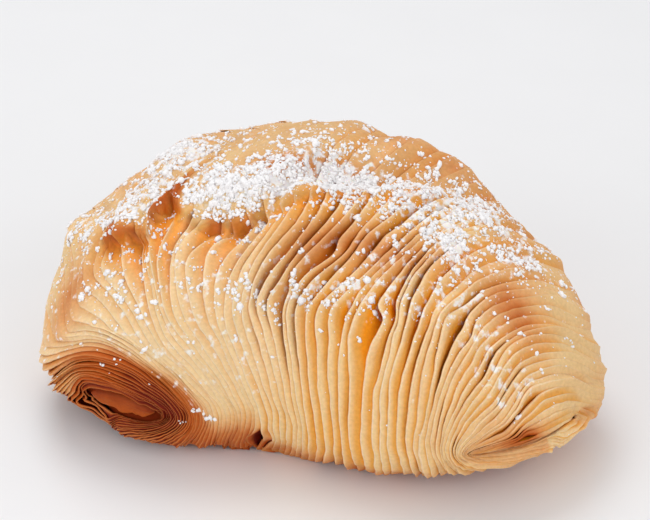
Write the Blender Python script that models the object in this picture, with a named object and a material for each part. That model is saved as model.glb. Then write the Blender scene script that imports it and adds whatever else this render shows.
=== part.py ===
"""Sfogliatella: a baked shell of thin pastry leaves, one solid with its filling.

The leaves are rings. They start at the coil, the tight dark end at the lower left,
run close together under the front edge, spread over the top and the back, and close
again at the tail, the end at the lower right. The solid is a sphere whose rings of
vertices are laid along those leaves: two rings a leaf, one on its cut edge and one
where its face dips under the next leaf's edge.

Lengths are in metres and angles in radians, unless a name says otherwise.
"""

import math

import bmesh
import bpy
import numpy as np

# The outline. The plan radius and the roundness of the side profile are given every
# 45 degrees, anticlockwise from +X, and a smooth closed curve runs through them.
PLAN_RADII = (0.0585, 0.0385, 0.0450, 0.0440, 0.0520, 0.0525, 0.0375, 0.0580)
SIDE_ROUNDNESS = (1.95, 2.40, 1.90, 2.10, 2.10, 1.75, 2.05, 1.60)
WIDEST_LEVEL = 0.0122        # height of the widest section above the base
RISE_ABOVE = 0.0411          # from the widest section to the top
DROP_BELOW = 0.0224          # from the widest section to where the round underside would end

# The leaves' rings before they lean: azimuth and elevation of the two ends, in degrees.
COIL_POLE = (195.5, -22.9)
TAIL_POLE = (1.6, -6.2)
LEAN = (0.26, -0.775)        # sideways push of the upper rings, on a sphere of radius 1
LEAN_HEIGHTS = (-0.695, 0.155)

# Each end as baked: where it faces, how far its own rings reach, its flat mouth.
COIL = {"faces": (231.5, -1.5), "reach": 0.74, "mouth": (0.17, 0.035),
        "mouth_along": (0.95, -0.25, -0.10)}
TAIL = {"faces": (333.5, 3.0), "reach": 0.47, "mouth": (0.06, 0.02),
        "mouth_along": (-0.60, -0.70, -0.35)}
LIP_CROWDING = 1.3           # how much closer to the mouth the rings lie below it
LIP_SHARPNESS = 1.5
COIL_MOUTH_DEPTH = 0.0060    # how far the coil's middle is sunk
COIL_MOUTH_SPREAD = (0.19, 0.075)

# Swellings and dents: centre, spread and height of each.
SWELLINGS = (
    ((-0.0270, -0.0330, 0.0050), 0.0075, 0.0020),    # lower lip of the coil
    ((-0.0445, -0.0095, 0.0340), 0.0050, 0.0022),    # lump on the left shoulder
    ((-0.0290, -0.0240, 0.0430), 0.0060, 0.0018),    # ridge at the top left
    ((-0.0165, -0.0190, 0.0480), 0.0050, -0.0025),   # dip behind that ridge
    ((-0.0050, 0.0080, 0.0530), 0.0120, 0.0010),     # crown
)
# The furrow along the top, in front of the crown. It starts at the left at the given
# distance from the middle and moves back in bends: how far, from which x to which x.
VALLEY_DEPTH = 0.0030
VALLEY_WIDTH = 0.0035
VALLEY_START = -0.0195
VALLEY_BENDS = ((0.0130, -0.008, 0.003), (0.0090, 0.003, 0.028))
VALLEY_LEFT_END = (-0.026, -0.012)
VALLEY_RIGHT_END = (0.025, 0.045)
VALLEY_HEIGHTS = (0.030, 0.040)

# Leaves.
LEAF_COUNT = 40
LEAF_CROWDING = ((0.0, 24.0), (0.99, 24.0), (1.0, 17.0), (1.55, 15.0), (1.65, 12.5),
                 (2.05, 12.5), (2.15, 20.0), (math.pi, 22.0))
POINTS_AROUND = 64
THETA_SAMPLES = 601
LINE_SAMPLES = 361
FIRST_PLACE = 0.1            # leaves stop this far short of the two ends
BACK_STARTS = (3.6, 4.5)     # where round a ring the even spacing of the back sets in
BACK_ENDS = (5.5, 6.25)      # and where it ends
STEP_WIDTH = 0.14            # share of a leaf's width between its foot and the next edge
STEP_DEPTH = 0.0018
STEEPEST_STEP = 0.55         # a step's depth in leaf widths, at most
RELIEF_HEIGHTS = (0.0006, 0.0060)    # the steps start and are full at these heights
WAVE = 0.20                  # sideways wander of a leaf's edge, in leaf widths

CRUST_COLOUR = (0.72, 0.46, 0.22, 1.0)
CRUST_ROUGHNESS = 0.62


def clear_scene():
    for thing in list(bpy.data.objects):
        bpy.data.objects.remove(thing, do_unlink=True)


def toward(azimuth, elevation):
    """Unit vector at an azimuth and an elevation in degrees."""
    azimuth = math.radians(azimuth)
    elevation = math.radians(elevation)
    level = math.cos(elevation)
    return np.array([level * math.cos(azimuth), level * math.sin(azimuth), math.sin(elevation)])


def unit(vectors):
    return vectors / np.linalg.norm(vectors, axis=-1, keepdims=True)


def ease(value, low, high):
    """0 below low, 1 above high, smooth between."""
    share = np.clip((value - low) / (high - low), 0.0, 1.0)
    return share * share * (3.0 - 2.0 * share)


def around(stations, azimuth):
    """Smooth closed curve through evenly spaced stations, read at an azimuth."""
    waves = np.fft.rfft(stations) / len(stations)
    total = np.full(azimuth.shape, waves[0].real)
    for order in range(1, len(waves)):
        weight = 1.0 if 2 * order == len(stations) else 2.0
        total = total + weight * (waves[order] * np.exp(1j * order * azimuth)).real
    return total


def plain_ring(theta, phi):
    """Direction of a point at phi on the ring theta, 0 at the coil and pi at the tail.

    The rings are those of a sphere, pressed together on the side of the shorter way
    from end to end, so that they spread like a fan over the rest, and then leaned.
    """
    coil = toward(*COIL_POLE)
    tail = toward(*TAIL_POLE)
    middle = unit(coil + tail)
    along = unit(tail - coil)
    across = np.cross(middle, along)
    press = float(coil @ middle)
    theta = theta[..., None]
    phi = phi[..., None]
    point = -np.cos(theta) * along + np.sin(theta) * (np.cos(phi) * middle + np.sin(phi) * across)
    depth = (point @ middle)[..., None]
    shrink = math.sqrt(1.0 - press * press)
    point = (shrink * (point - depth * middle) + (depth + press) * middle) / (1.0 + press * depth)
    push = ease(point[..., 2:3], *LEAN_HEIGHTS)
    return unit(point + push * np.array([LEAN[0], LEAN[1], 0.0]))


def mouth_axes(end):
    """The way an end faces, and the long and short way of its flat mouth."""
    faces = toward(*end["faces"])
    along = np.array(end["mouth_along"])
    along = unit(along - faces * (along @ faces))
    return faces, along, np.cross(faces, along)


def end_ring(theta, phi, end, outer_theta):
    """Direction on one of an end's own rings, which close down to its mouth."""
    faces, along, across = mouth_axes(end)
    outer = plain_ring(np.full(theta.shape, outer_theta), phi)
    turn = np.arctan2((outer - faces) @ across, (outer - faces) @ along)[..., None]
    long_half, short_half = end["mouth"]
    mouth = faces + long_half * np.cos(turn) * along + short_half * np.sin(turn) * across
    crowding = 1.0 + LIP_CROWDING * (0.5 - 0.5 * np.sin(turn)) ** LIP_SHARPNESS
    share = (theta / end["reach"])[..., None] ** crowding
    return unit(mouth + share * (outer - mouth))


def directions(theta, phi):
    """Directions of the points at phi on the rings theta."""
    coil_side = end_ring(theta, phi, COIL, COIL["reach"])
    tail_side = end_ring(math.pi - theta, phi, TAIL, math.pi - TAIL["reach"])
    result = np.where((theta < COIL["reach"])[..., None], coil_side, plain_ring(theta, phi))
    return np.where((theta > math.pi - TAIL["reach"])[..., None], tail_side, result)


def outline_radius(direction):
    """Distance from the middle of the widest section to the smooth outline."""
    azimuth = np.arctan2(direction[..., 1], direction[..., 0])
    plan = around(PLAN_RADII, azimuth)
    roundness = around(SIDE_ROUNDNESS, azimuth)
    height = np.where(direction[..., 2] < 0.0, DROP_BELOW, RISE_ABOVE)
    flat = np.hypot(direction[..., 0], direction[..., 1]) / plan
    upright = np.abs(direction[..., 2]) / height
    return (flat ** roundness + upright ** roundness) ** (-1.0 / roundness)


def valley(point):
    """1 in the furrow along the top, falling to 0 beside it and at its ends."""
    x, y, z = point[..., 0], point[..., 1], point[..., 2]
    line = VALLEY_START
    for rise, start, end in VALLEY_BENDS:
        line = line + rise * ease(x, start, end)
    beside = np.exp(-0.5 * ((y - line) / VALLEY_WIDTH) ** 2)
    ends = ease(x, *VALLEY_LEFT_END) * (1.0 - ease(x, *VALLEY_RIGHT_END))
    return beside * ends * ease(z, *VALLEY_HEIGHTS)


def coil_mouth(direction):
    """1 at the bottom of the coil's mouth, falling to 0 outside it."""
    faces, along, across = mouth_axes(COIL)
    long_half, short_half = COIL_MOUTH_SPREAD
    away = direction - faces
    inside = np.exp(-((away @ along) / long_half) ** 2 - ((away @ across) / short_half) ** 2)
    return inside * (direction @ faces > 0.0)


def skin(direction, sunk=0.0):
    """Points of the surface in the given directions, sunk by a depth towards the middle."""
    point = direction * outline_radius(direction)[..., None]
    point[..., 2] += WIDEST_LEVEL
    offset = -COIL_MOUTH_DEPTH * coil_mouth(direction) - VALLEY_DEPTH * valley(point) - sunk
    for centre, spread, height in SWELLINGS:
        square = ((point - np.array(centre)) ** 2).sum(-1)
        offset = offset + height * np.exp(-0.5 * square / spread ** 2)
    return point + direction * offset[..., None]


def running_length(points):
    """Length along each row of points, from 0 at its start to 1 at its end."""
    steps = np.linalg.norm(np.diff(points, axis=1), axis=-1)
    length = np.concatenate([np.zeros((len(points), 1)), np.cumsum(steps, axis=1)], axis=1)
    return length / length[:, -1:]


def leaf_starts(places, phi):
    """Ring angle of each place, counted in leaves from the coil, on every line phi.

    Seen from the front the leaves crowd towards the two ends. Round the back each of
    them is as wide as its neighbour.
    """
    angles, crowding = zip(*LEAF_CROWDING)
    theta = np.linspace(0.0, math.pi, THETA_SAMPLES)
    front = np.cumsum(np.interp(theta, angles, crowding))
    front = (front - front[0]) / (front[-1] - front[0])
    lines = skin(directions(*np.broadcast_arrays(theta[None], phi[:, None])))
    back = running_length(lines)
    behind = (ease(phi, *BACK_STARTS) * (1.0 - ease(phi, *BACK_ENDS)))[:, None]
    starts = [np.interp(place / LEAF_COUNT, front * (1.0 - share) + row * share, theta)
              for place, row, share in zip(places.T, back, behind)]
    return np.array(starts).T


def edge_wander(leaf, phi):
    """Uneven sideways shift of a leaf's edge, in leaf widths."""
    slow = np.sin(3.0 * phi + 1.7 * leaf)
    quick = np.sin(7.0 * phi - 2.3 * leaf + 1.0)
    return WAVE * (0.6 * slow + 0.4 * quick)


def leaf_rings():
    """Points of every vertex ring: even rows on a leaf's edge, odd ones at its foot."""
    phi = np.linspace(0.0, 2.0 * math.pi, LINE_SAMPLES)
    leaf = np.arange(LEAF_COUNT + 1)[:, None] + 0.0 * phi
    places = np.clip(leaf + 0.5 + edge_wander(leaf, phi), FIRST_PLACE, LEAF_COUNT - FIRST_PLACE)
    feet = places[1:] - STEP_WIDTH * np.minimum(1.0, np.diff(places, axis=0))
    edge_theta = leaf_starts(places, phi)
    edges = skin(directions(*np.broadcast_arrays(edge_theta, phi)))
    foot_directions = directions(*np.broadcast_arrays(leaf_starts(feet, phi), phi))
    feet = skin(foot_directions)
    width = np.linalg.norm(np.diff(edges, axis=0), axis=-1)
    relief = ease(feet[..., 2], *RELIEF_HEIGHTS)
    feet = skin(foot_directions, np.minimum(STEP_DEPTH, STEEPEST_STEP * width) * relief)
    rings = np.empty((2 * LEAF_COUNT, POINTS_AROUND, 3))
    shares = np.arange(POINTS_AROUND) / POINTS_AROUND
    for number, length in enumerate(running_length(edges[:-1])):
        for row, line in ((2 * number, edges[number]), (2 * number + 1, feet[number])):
            for axis in range(3):
                rings[row, :, axis] = np.interp(shares, length, line[:, axis])
    return rings


def pastry_mesh():
    """The whole solid, standing on the middle of its flat base."""
    rings = leaf_rings()
    builder = bmesh.new()
    bmesh.ops.create_uvsphere(builder, u_segments=POINTS_AROUND,
                              v_segments=len(rings) + 1, radius=1.0)
    sphere = np.array([vertex.co[:] for vertex in builder.verts])
    polar = np.arccos(np.clip(-sphere[:, 2], -1.0, 1.0))
    ring = np.rint(polar / math.pi * (len(rings) + 1)).astype(int)
    turn = -np.arctan2(sphere[:, 1], sphere[:, 0]) / (2.0 * math.pi)
    column = np.rint(turn * POINTS_AROUND).astype(int) % POINTS_AROUND
    points = rings[np.clip(ring - 1, 0, len(rings) - 1), column]
    points[ring == 0] = skin(toward(*COIL["faces"])[None])
    points[ring == len(rings) + 1] = skin(toward(*TAIL["faces"])[None])
    points[:, 2] = np.maximum(points[:, 2], 0.0)
    middle = 0.5 * (points.min(axis=0) + points.max(axis=0))
    points[:, :2] -= middle[:2]
    for vertex, point in zip(builder.verts, points):
        vertex.co = point
    mesh = bpy.data.meshes.new("pastry")
    builder.to_mesh(mesh)
    builder.free()
    return mesh


def crust_material():
    material = bpy.data.materials.new("baked_crust")
    material.use_nodes = True
    shader = material.node_tree.nodes["Principled BSDF"]
    shader.inputs["Base Color"].default_value = CRUST_COLOUR
    shader.inputs["Roughness"].default_value = CRUST_ROUGHNESS
    shader.inputs["Metallic"].default_value = 0.0
    return material


def build():
    clear_scene()
    collection = bpy.data.collections.new("sfogliatella")
    bpy.context.scene.collection.children.link(collection)
    pastry = bpy.data.objects.new("pastry", pastry_mesh())
    pastry.data.materials.append(crust_material())
    collection.objects.link(pastry)


build()
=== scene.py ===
"""Sfogliatella: thin baked leaves wound round a filling and dusted with sugar.

Every leaf is a closed ribbon that runs right round the pastry. Its free edge faces the
coil, the tight dark end at -X, and its face dips under the next leaf on the way to the
tail, the end at +X. A spot on a leaf is found by its ring angle theta, 0 at the coil and
pi at the tail, and by phi, the way round the ring: from the underside up the front, over
the top and down the back.

Lengths are in metres and angles in radians, unless a name says otherwise.
"""

import math

import bmesh
import bpy
import numpy as np
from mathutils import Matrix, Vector
from mathutils.bvhtree import BVHTree


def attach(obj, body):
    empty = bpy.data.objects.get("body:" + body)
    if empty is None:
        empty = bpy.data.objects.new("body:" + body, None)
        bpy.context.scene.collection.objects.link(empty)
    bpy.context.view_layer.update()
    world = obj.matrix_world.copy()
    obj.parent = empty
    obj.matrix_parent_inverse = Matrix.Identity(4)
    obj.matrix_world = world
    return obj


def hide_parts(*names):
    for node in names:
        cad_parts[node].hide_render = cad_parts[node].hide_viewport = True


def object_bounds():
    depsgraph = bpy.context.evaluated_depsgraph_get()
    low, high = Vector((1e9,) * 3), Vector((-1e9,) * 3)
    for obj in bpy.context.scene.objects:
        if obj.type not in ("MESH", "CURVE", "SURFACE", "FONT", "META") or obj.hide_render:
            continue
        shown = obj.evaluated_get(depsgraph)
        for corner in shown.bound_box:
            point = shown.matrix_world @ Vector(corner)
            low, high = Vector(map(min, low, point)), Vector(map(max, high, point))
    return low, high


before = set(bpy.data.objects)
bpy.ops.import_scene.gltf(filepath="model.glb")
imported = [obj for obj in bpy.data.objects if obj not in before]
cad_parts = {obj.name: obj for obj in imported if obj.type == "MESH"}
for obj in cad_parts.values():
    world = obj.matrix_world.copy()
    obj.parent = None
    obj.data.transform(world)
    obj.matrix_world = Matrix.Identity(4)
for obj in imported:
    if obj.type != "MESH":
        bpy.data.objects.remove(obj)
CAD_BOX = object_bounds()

bl_info = {
    "name": "Sfogliatella",
    "version": (1, 0, 0),
    "blender": (4, 5, 0),
    "location": "View3D > Sidebar > Pastry",
    "description": "A baked pastry shell of thin leaves with sugar on top",
    "category": "Add Mesh",
}

TURN = 2.0 * math.pi

# ---------------------------------------------------------------- outline
PLAN_RADII = (0.0585, 0.0385, 0.0450, 0.0440, 0.0520, 0.0525, 0.0375, 0.0580)
SIDE_ROUNDNESS = (1.95, 2.40, 1.90, 2.10, 2.10, 1.75, 2.05, 1.60)
WIDEST_LEVEL = 0.0122
RISE_ABOVE = 0.0411
DROP_BELOW = 0.0224
# Directions from the middle are an azimuth and an elevation in degrees.
COIL_POLE = (195.5, -22.9)
TAIL_POLE = (1.6, -6.2)
LEAN = (0.26, -0.775, 0.0)   # how far the rings lean forward once they are above the floor
LEAN_HEIGHTS = (-0.695, 0.155)
# The two ends: which way they face, up to which ring angle they reach, half the length and
# height of their flat mouth, which way it runs, how tightly their leaves crowd round it.
COIL = {"faces": (231.5, -1.5), "reach": 0.74, "mouth": (0.158, 0.054),
        "mouth_along": (0.95, -0.25, -0.04), "crowding": 1.0, "lower_crowding": 1.3}
TAIL = {"faces": (324.5, 2.2), "reach": 0.80, "mouth": (0.190, 0.004),
        "mouth_along": (0.58, 0.81, 0.06), "crowding": 1.35, "lower_crowding": 0.5}
CROWDING_SHARPNESS = 1.5
# Leaves lean over toward the tail above the shoulder: by how much, between which rings,
# and from which phi to which phi beside the coil and past it.
LEAN_OVER = 0.32
LEAN_RINGS = ((0.42, 0.85), (1.50, 2.25))
LEAN_BLEND = (0.95, 1.30)
LEAN_PHI = ((2.60, 3.60), (2.52, 3.20))
LEAN_BACK = (4.2, 5.2)
KNEE_ROUND = 0.11            # how gently the leaves bend at the shoulder, in phi
KNEE_WAVE = (0.03, 6.0)      # how far the line of bends wavers, and waves to a radian
KNEE_FRONT = (1.0, 2.0)
# Beside the tail they bend once more, and beside the coil they turn up before they reach
# the back: by how much, between which of a leaf's own rings, between which phi.
TAIL_BEND = (-0.09, ((2.42, 2.90), (2.95, 3.14)), ((2.38, 3.08), (3.5, 4.4)))
TURN_UP = (0.30, ((0.40, 0.64), (0.80, 1.35)), ((3.38, 3.75), None))
COIL_MOUTH_DEPTH = 0.0060
COIL_MOUTH_SPREAD = (0.19, 0.075)
# Swellings and dents: middle, spread, height.
SWELLINGS = (
    ((-0.0270, -0.0330, 0.0050), 0.0075, 0.0020),
    ((-0.0445, -0.0095, 0.0340), 0.0050, 0.0022),
    ((-0.0290, -0.0240, 0.0430), 0.0060, 0.0018),
    ((-0.0165, -0.0190, 0.0480), 0.0050, -0.0025),
    ((-0.0050, 0.0080, 0.0530), 0.0120, 0.0010),
)
# Those that only the leaves show.
LUMPS = (
    ((-0.0400, -0.0095, 0.0405), 0.0030, -0.0020),
    ((-0.0280, 0.0030, 0.0480), 0.0050, 0.0021),
    ((-0.0455, -0.0130, 0.0350), 0.0040, 0.0014),
    ((-0.0150, 0.0050, 0.0522), 0.0050, -0.0016),
    ((-0.0440, -0.0325, 0.0115), 0.0035, 0.0016),
    ((-0.0365, -0.0335, 0.0070), 0.0025, -0.0016),
    ((-0.0020, -0.0370, 0.0030), 0.0028, -0.0020),
    ((0.0105, 0.0150, 0.0503), 0.0026, -0.0018),
    ((0.0160, 0.0150, 0.0490), 0.0060, 0.0010),
    ((0.0280, 0.0110, 0.0465), 0.0080, 0.0011),
    ((0.0400, 0.0050, 0.0405), 0.0070, -0.0012),
)
# The furrow along the top: where it starts in y and how it bends, and between which x.
VALLEY_DEPTH = 0.0030
VALLEY_WIDTH = 0.0035
VALLEY_START = -0.0195
VALLEY_BENDS = ((0.0130, -0.008, 0.003), (0.0090, 0.003, 0.028))
VALLEY_ENDS = ((-0.026, -0.012), (0.025, 0.045))
VALLEY_HEIGHTS = (0.030, 0.040)
LEAF_VALLEY = (0.85, 0.65, (-0.006, 0.006))  # its depth on the leaves, and added past which x
# How many leaves lie to a radian of ring angle along the front.
LEAF_CROWDING = ((0.0, 26.0), (0.40, 26.0), (0.50, 36.0), (0.85, 31.0), (1.05, 19.0),
                 (1.55, 15.0), (1.65, 12.5), (2.05, 12.5), (2.15, 18.0), (2.80, 20.0),
                 (2.98, 28.0), (math.pi, 34.0))
BACK_PHI = ((3.6, 4.5), (5.5, 6.25))         # where they are spread evenly instead
LINES = 361                  # lines along which the tables are kept, all round
ANGLES = 481                 # ring angles in the tables
SMOOTHINGS = 3               # times that the outward directions are evened out

# ---------------------------------------------------------------- leaves
LEAF_SPACING = 0.00062       # between two points along a leaf
LEAF_POINTS = (90, 430)      # fewest and most points along a leaf
CUT_EDGE = 0.05              # share of a leaf's width that the painted highlight of its cut edge takes up
# Across a leaf: share of its width, how far the point stands out towards the coil, depth
# under the face in thicknesses, how much of the cut edge's painted highlight shows.
ACROSS = ((0.00, 0.0, 0.0, 1.0), (CUT_EDGE, 0.0, 0.0, 0.35)) + tuple(
    (share, 0.0, 0.0, 0.0) for share in (0.13, 0.26, 0.42, 0.58, 0.74, 0.88, 1.00, 1.35)
) + ((1.35, 0.0, 1.0, 0.0), (0.55, 0.0, 1.0, 0.0), (0.10, 0.0, 1.1, 0.0),
     (0.00, 0.8, 1.05, 0.0), (0.00, 1.0, 0.60, 0.40), (0.00, 0.45, 0.12, 1.0))
ACROSS_LIMITS = (-0.3, 1.4)
GROUPS = (("leaves_coil", 0.0, 0.335), ("leaves_left", 0.335, 0.53),
          ("leaves_middle", 0.53, 0.72), ("leaves_right", 0.72, 1.0))
MOST_TRIANGLES = 200000      # to a piece
UNDERCUT = 0.0011            # how far the foot of the leaves draws in over the floor
UNDERCUT_HEIGHT = 0.0020
CLEAR = 0.00090              # how unevenly the feet of the leaves stand clear of the floor
CLEAR_USUAL = 0.2            # how far most of them do, against that
CLEAR_HEIGHT = 0.0040
FLAT_HEIGHT = 0.0025         # leaves lie flat under this height
FLAT = 0.05                  # what is left of their unevenness there
TOP_ROOM = 0.0016            # the last of the height, where folds are pressed closer
CRUMB_SHARES = (0.2, 0.3)    # how far across a leaf its edge wavers and has crumbs
CUT_SLANT = (0.00030, 0.22)  # how far the cut edge's foot stands out, at most in leaf widths
LEAST_GAP = 0.06             # between two free edges, in leaves
LEAST_WIDTH = 0.00010
LEAST_DEPTH = 0.00018        # of a gap, before it is opened or closed
DEEPENING_WIDTH = 0.0045     # wider leaves have no deeper gaps
DEPTH_LIMITS = (0.00005, 0.0040)
THICKEST = 0.48              # thickness of a leaf in its own widths, at most
THIN_FOOT = (0.35, 0.0020)   # share of the thickness left at the floor, up to which height
MELTED_THICK = 0.12          # share of the thickness left where leaves melt together
MELTED_SLANT = 0.2
TUCKED = 0.0008              # how far the inner end is tucked under the next leaf
BULGE = 0.05                 # how far a face swells, in leaf widths
CRUMB_HEIGHT = 0.000025      # crumbs along the free edge, and how far it wavers
CRUMB_SLIDE = 0.000035
CRUMB_BLUR = (0.5, 0.7, 0.5)
# Unevenness: waves round a leaf, and how far they drift from one leaf to the next.
WAVES = {
    "slow": ((1, 2, 3, 5), 1.3), "quick": ((6, 9, 13), 1.8), "sideways": ((9, 16, 27), 1.5),
    "lift": ((2, 4, 7, 13), 1.6), "fringe": ((23, 37, 51), 2.0), "fold": ((3, 5, 9, 15), 0.8),
    "opening": ((2, 3, 6, 10), 1.7), "tint": ((1, 3, 6), 1.7), "bulge": ((4, 9, 16), 1.8),
}
WIDTH_WAVES = (0.62, 0.16, 0.55)     # share of slow waves, quick waves and a leaf's own width
# How much of the unevenness is left near the ends: share of the way, amount.
EVEN_ENDS = ((0.0, 0.15, 0.32, 0.82, 1.0), (0.25, 0.45, 1.0, 1.0, 0.40))
# Stretches where a leaf runs hidden: their length, how many start at the shoulder and where,
# how softly they start and end, how far the leaf is hidden.
HIDDEN_RUN = (0.5, 1.3)
HIDDEN_AT_SHOULDER = 0.55
HIDDEN_START = (2.55, 0.14)
HIDDEN_EASE = (0.04, 0.22, 0.35)
HIDDEN = 0.93
SIDEWAYS = 0.03
PLACE_MARGINS = (0.08, 0.02)         # left free at the coil and the tail, in leaves
# How free edges stand out round one phi: height, lowest and highest share, phi, spread.
KNEES = (0.00045, (-0.2, 1.0), (2.54, 0.08))
TIPS = (0.00060, (-0.8, 0.6), (1.12, 0.22))
FLARES = (0.0011, (-0.8, 0.6), (3.65, 0.50))
FLARES_END = 0.42                    # share of the leaves that flare
FRINGES = (0.00010, (1.05, 0.3))
FOLDS = (0.00050, 0.00035)           # along a leaf and from leaf to leaf
OPENINGS = 0.42
TINTS = (0.16, 0.14)                 # along a leaf and from leaf to leaf
# Gaps that stand open between two leaves: ring angle on the outline, phi, spread of phi
# above and below, push in leaf widths, added depth.
POCKETS = (
    (1.105, 1.22, 0.12, 0.18, 2.50, 0.0032),
    (1.00, 3.32, 0.16, 0.26, 2.00, 0.0013),
    (1.125, 3.26, 0.20, 0.28, 1.60, 0.0013),
    (1.20, 3.11, 0.14, 0.24, 1.20, 0.0010),
    (1.30, 3.04, 0.14, 0.22, 1.20, 0.0010),
    (1.48, 2.77, 0.14, 0.14, 0.50, 0.0005),
    (1.47, 2.56, 0.08, 0.18, 0.80, 0.0006),
    (1.63, 2.77, 0.14, 0.14, 1.10, 0.0008),
    (1.74, 2.83, 0.12, 0.12, 0.50, 0.0005),
    (1.80, 2.46, 0.08, 0.18, 0.65, 0.0006),
    (1.93, 2.42, 0.08, 0.24, 0.75, 0.0008),
    (2.01, 2.48, 0.08, 0.16, 0.55, 0.0005),
    (2.38, 2.62, 0.14, 0.20, 0.75, 0.0005),
    (2.85, 2.95, 0.10, 0.20, 0.60, 0.0006),
    (2.93, 2.41, 0.25, 0.25, 0.50, 0.0008),
    (3.00, 2.60, 0.10, 0.12, 0.45, 0.0012),
    (3.07, 2.70, 0.10, 0.12, 0.50, 0.0016),
)
POCKET_PUSH = (3.0, 1.6)     # how sharply leaves part at a pocket, and how many are pushed
POCKET_HOLLOW = (0.9, 1.1)   # width of its hollow in leaves, and length against its spread
# The lip where the leaves fold over onto the top: a leaf's own ring angle, phi of the lip,
# how far the face under it draws back, how far down in phi it stays drawn back.
LIP = (
    (0.68, 3.52, 0.0000, 0.10), (0.715, 3.50, 0.0004, 0.10), (0.735, 3.46, 0.0020, 0.14),
    (0.786, 3.36, 0.0022, 0.16), (0.822, 3.27, 0.0018, 0.14), (0.832, 3.28, 0.0010, 0.10),
    (0.842, 3.39, 0.0024, 0.26), (0.872, 3.45, 0.0034, 0.34), (0.900, 3.41, 0.0024, 0.28),
    (0.925, 3.30, 0.0004, 0.10), (0.960, 3.25, 0.0004, 0.10), (0.985, 3.21, 0.0018, 0.14),
    (1.015, 3.19, 0.0016, 0.14), (1.030, 3.18, 0.0005, 0.12), (1.050, 3.155, 0.0020, 0.14),
    (1.105, 3.115, 0.0020, 0.14), (1.12, 3.15, 0.0004, 0.10), (1.20, 3.165, 0.0010, 0.14),
    (1.35, 3.22, 0.0008, 0.12), (1.53, 3.315, 0.0006, 0.12), (1.78, 3.42, 0.0000, 0.10),
)
LIP_EDGE = (-0.016, 0.012)   # how sharply the lip stands over the face, in phi
LIP_SCALLOP = 0.010          # how far the lip arches up in the middle of a leaf
LIP_FALL = 1.4               # how suddenly the face comes back out below
LIP_SIDES = (0.5, 0.7, 0.07)  # how little a leaf's sides draw back, how narrow, how near in phi
LIP_RISE = (0.35, 0.12)      # how far the lip itself stands up, over how much of phi
LIP_MARKED = 0.0016          # depth from which its painted shade is full
# Where the lip's edge gets brown toast and painted shade, in phi.
LIP_BROWN_AND_SHADE = (0.02, 0.06)

# ---------------------------------------------------------------- where things change
# Rows of an amount, a place along the rings and a place in phi, both on the outline. A place
# is a middle and a spread, or the start and the end of a stretch, each given as the two
# values that it eases between. None sets no limit.
BROWNED = (
    (0.55, (0.84, 0.16), (3.52, 0.17)),                         # the shelf past the coil
    (0.50, (1.45, 0.07), (3.36, 0.09)),                         # the end of the lip
    (0.35, (1.60, 0.10), (3.45, 0.04)),                         # the crest beside it
    (0.30, ((1.15, 1.30), (1.75, 1.95)), (3.42, 0.06)),         # the furrow
    (0.15, ((2.00, 2.40), None), (None, (4.20, 4.80))),         # the tail half
    (0.38, (2.25, 0.11), (3.45, 0.15)),                         # its shoulder
    (0.55, (2.45, 0.20), (3.16, 0.20)),                         # lower down
    (0.40, (2.28, 0.12), (3.82, 0.12)),                         # behind the shoulder
    (0.70, ((0.30, 0.50), (1.00, 1.12)), (None, (1.20, 2.00))),  # the heel beside the coil
    (0.85, (1.10, 0.05), (1.15, 0.20)),                         # the notch past the heel, its painted shade
    (0.90, (3.07, 0.09), (2.62, 0.38)),                         # the gap at the tail, its painted shade
    (0.28, ((2.70, 3.00), None), (None, (2.20, 2.80))),         # under the tail
    (0.30, None, (4.50, 0.50)),                                 # the back
)
BROWNED_RIDGE = (0.50, ((1.38, 1.60), (1.95, 2.35)), (2.88, 0.20))
RIDGE_DRIFT = (0.20, (1.90, 2.30))           # how far its middle moves in phi, between rings
BROWNED_CROWN = ((0.32, ((0.95, 1.20), (2.00, 2.30)), (3.70, 0.32)),
                 (0.14, ((1.50, 1.70), (2.00, 2.30)), (3.70, 0.32)))
BROWNED_COIL = (0.42, 0.66)                  # the rings between which its brown ends
BROWNED_COIL_BELOW = (0.16, None, (None, (1.90, 2.90)))  # and how much later low down
# Less brown on the coil's left fins: painted light where the light falls on them.
PALER_COIL = (0.60, ((0.08, 0.22), None), (3.80, 0.65))
BROWNED_FOOT = (0.58, (None, (0.0020, 0.0100)))      # by height over the floor
# How much deeper the gaps are. The rows in a group are added up, and groups multiplied.
OPENED = (
    ((1.20, (None, (0.25, 0.55)), ((1.50, 2.00), (3.90, 4.70))),),          # the coil
    ((0.40, ((1.10, 1.40), None), (2.72, 0.36)),                            # the shoulder
     (-0.28, ((2.00, 2.30), None), (2.72, 0.36))),
    ((-0.36, None, (None, (1.50, 2.40))),),                                 # the low front
    ((-0.62, ((0.60, 0.80), (1.12, 1.35)), (None, (3.75, 4.20))),),         # past the coil
    ((-0.35, ((0.40, 0.60), (1.30, 1.60)), (3.80, 0.30)),),                 # behind the lip
    ((0.50, (None, (1.20, 1.60)), (4.70, 0.70)),),                          # the back
    ((-0.55, ((1.90, 2.20), None), ((2.90, 3.10), (3.90, 4.30))),),         # over the tail
    ((-0.14, ((2.25, 2.60), None), None), (-0.18, ((2.70, 2.90), None), None),
     (-0.48, ((2.97, 3.08), None), ((1.40, 2.00), None))),                  # the tail
    ((1.20, ((2.45, 2.70), None), (None, (1.30, 1.90))),),                  # under the tail
)
OPENED_FOOT = (0.55, (0.0002, 0.0014))       # depth left at the floor, between which heights
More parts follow.
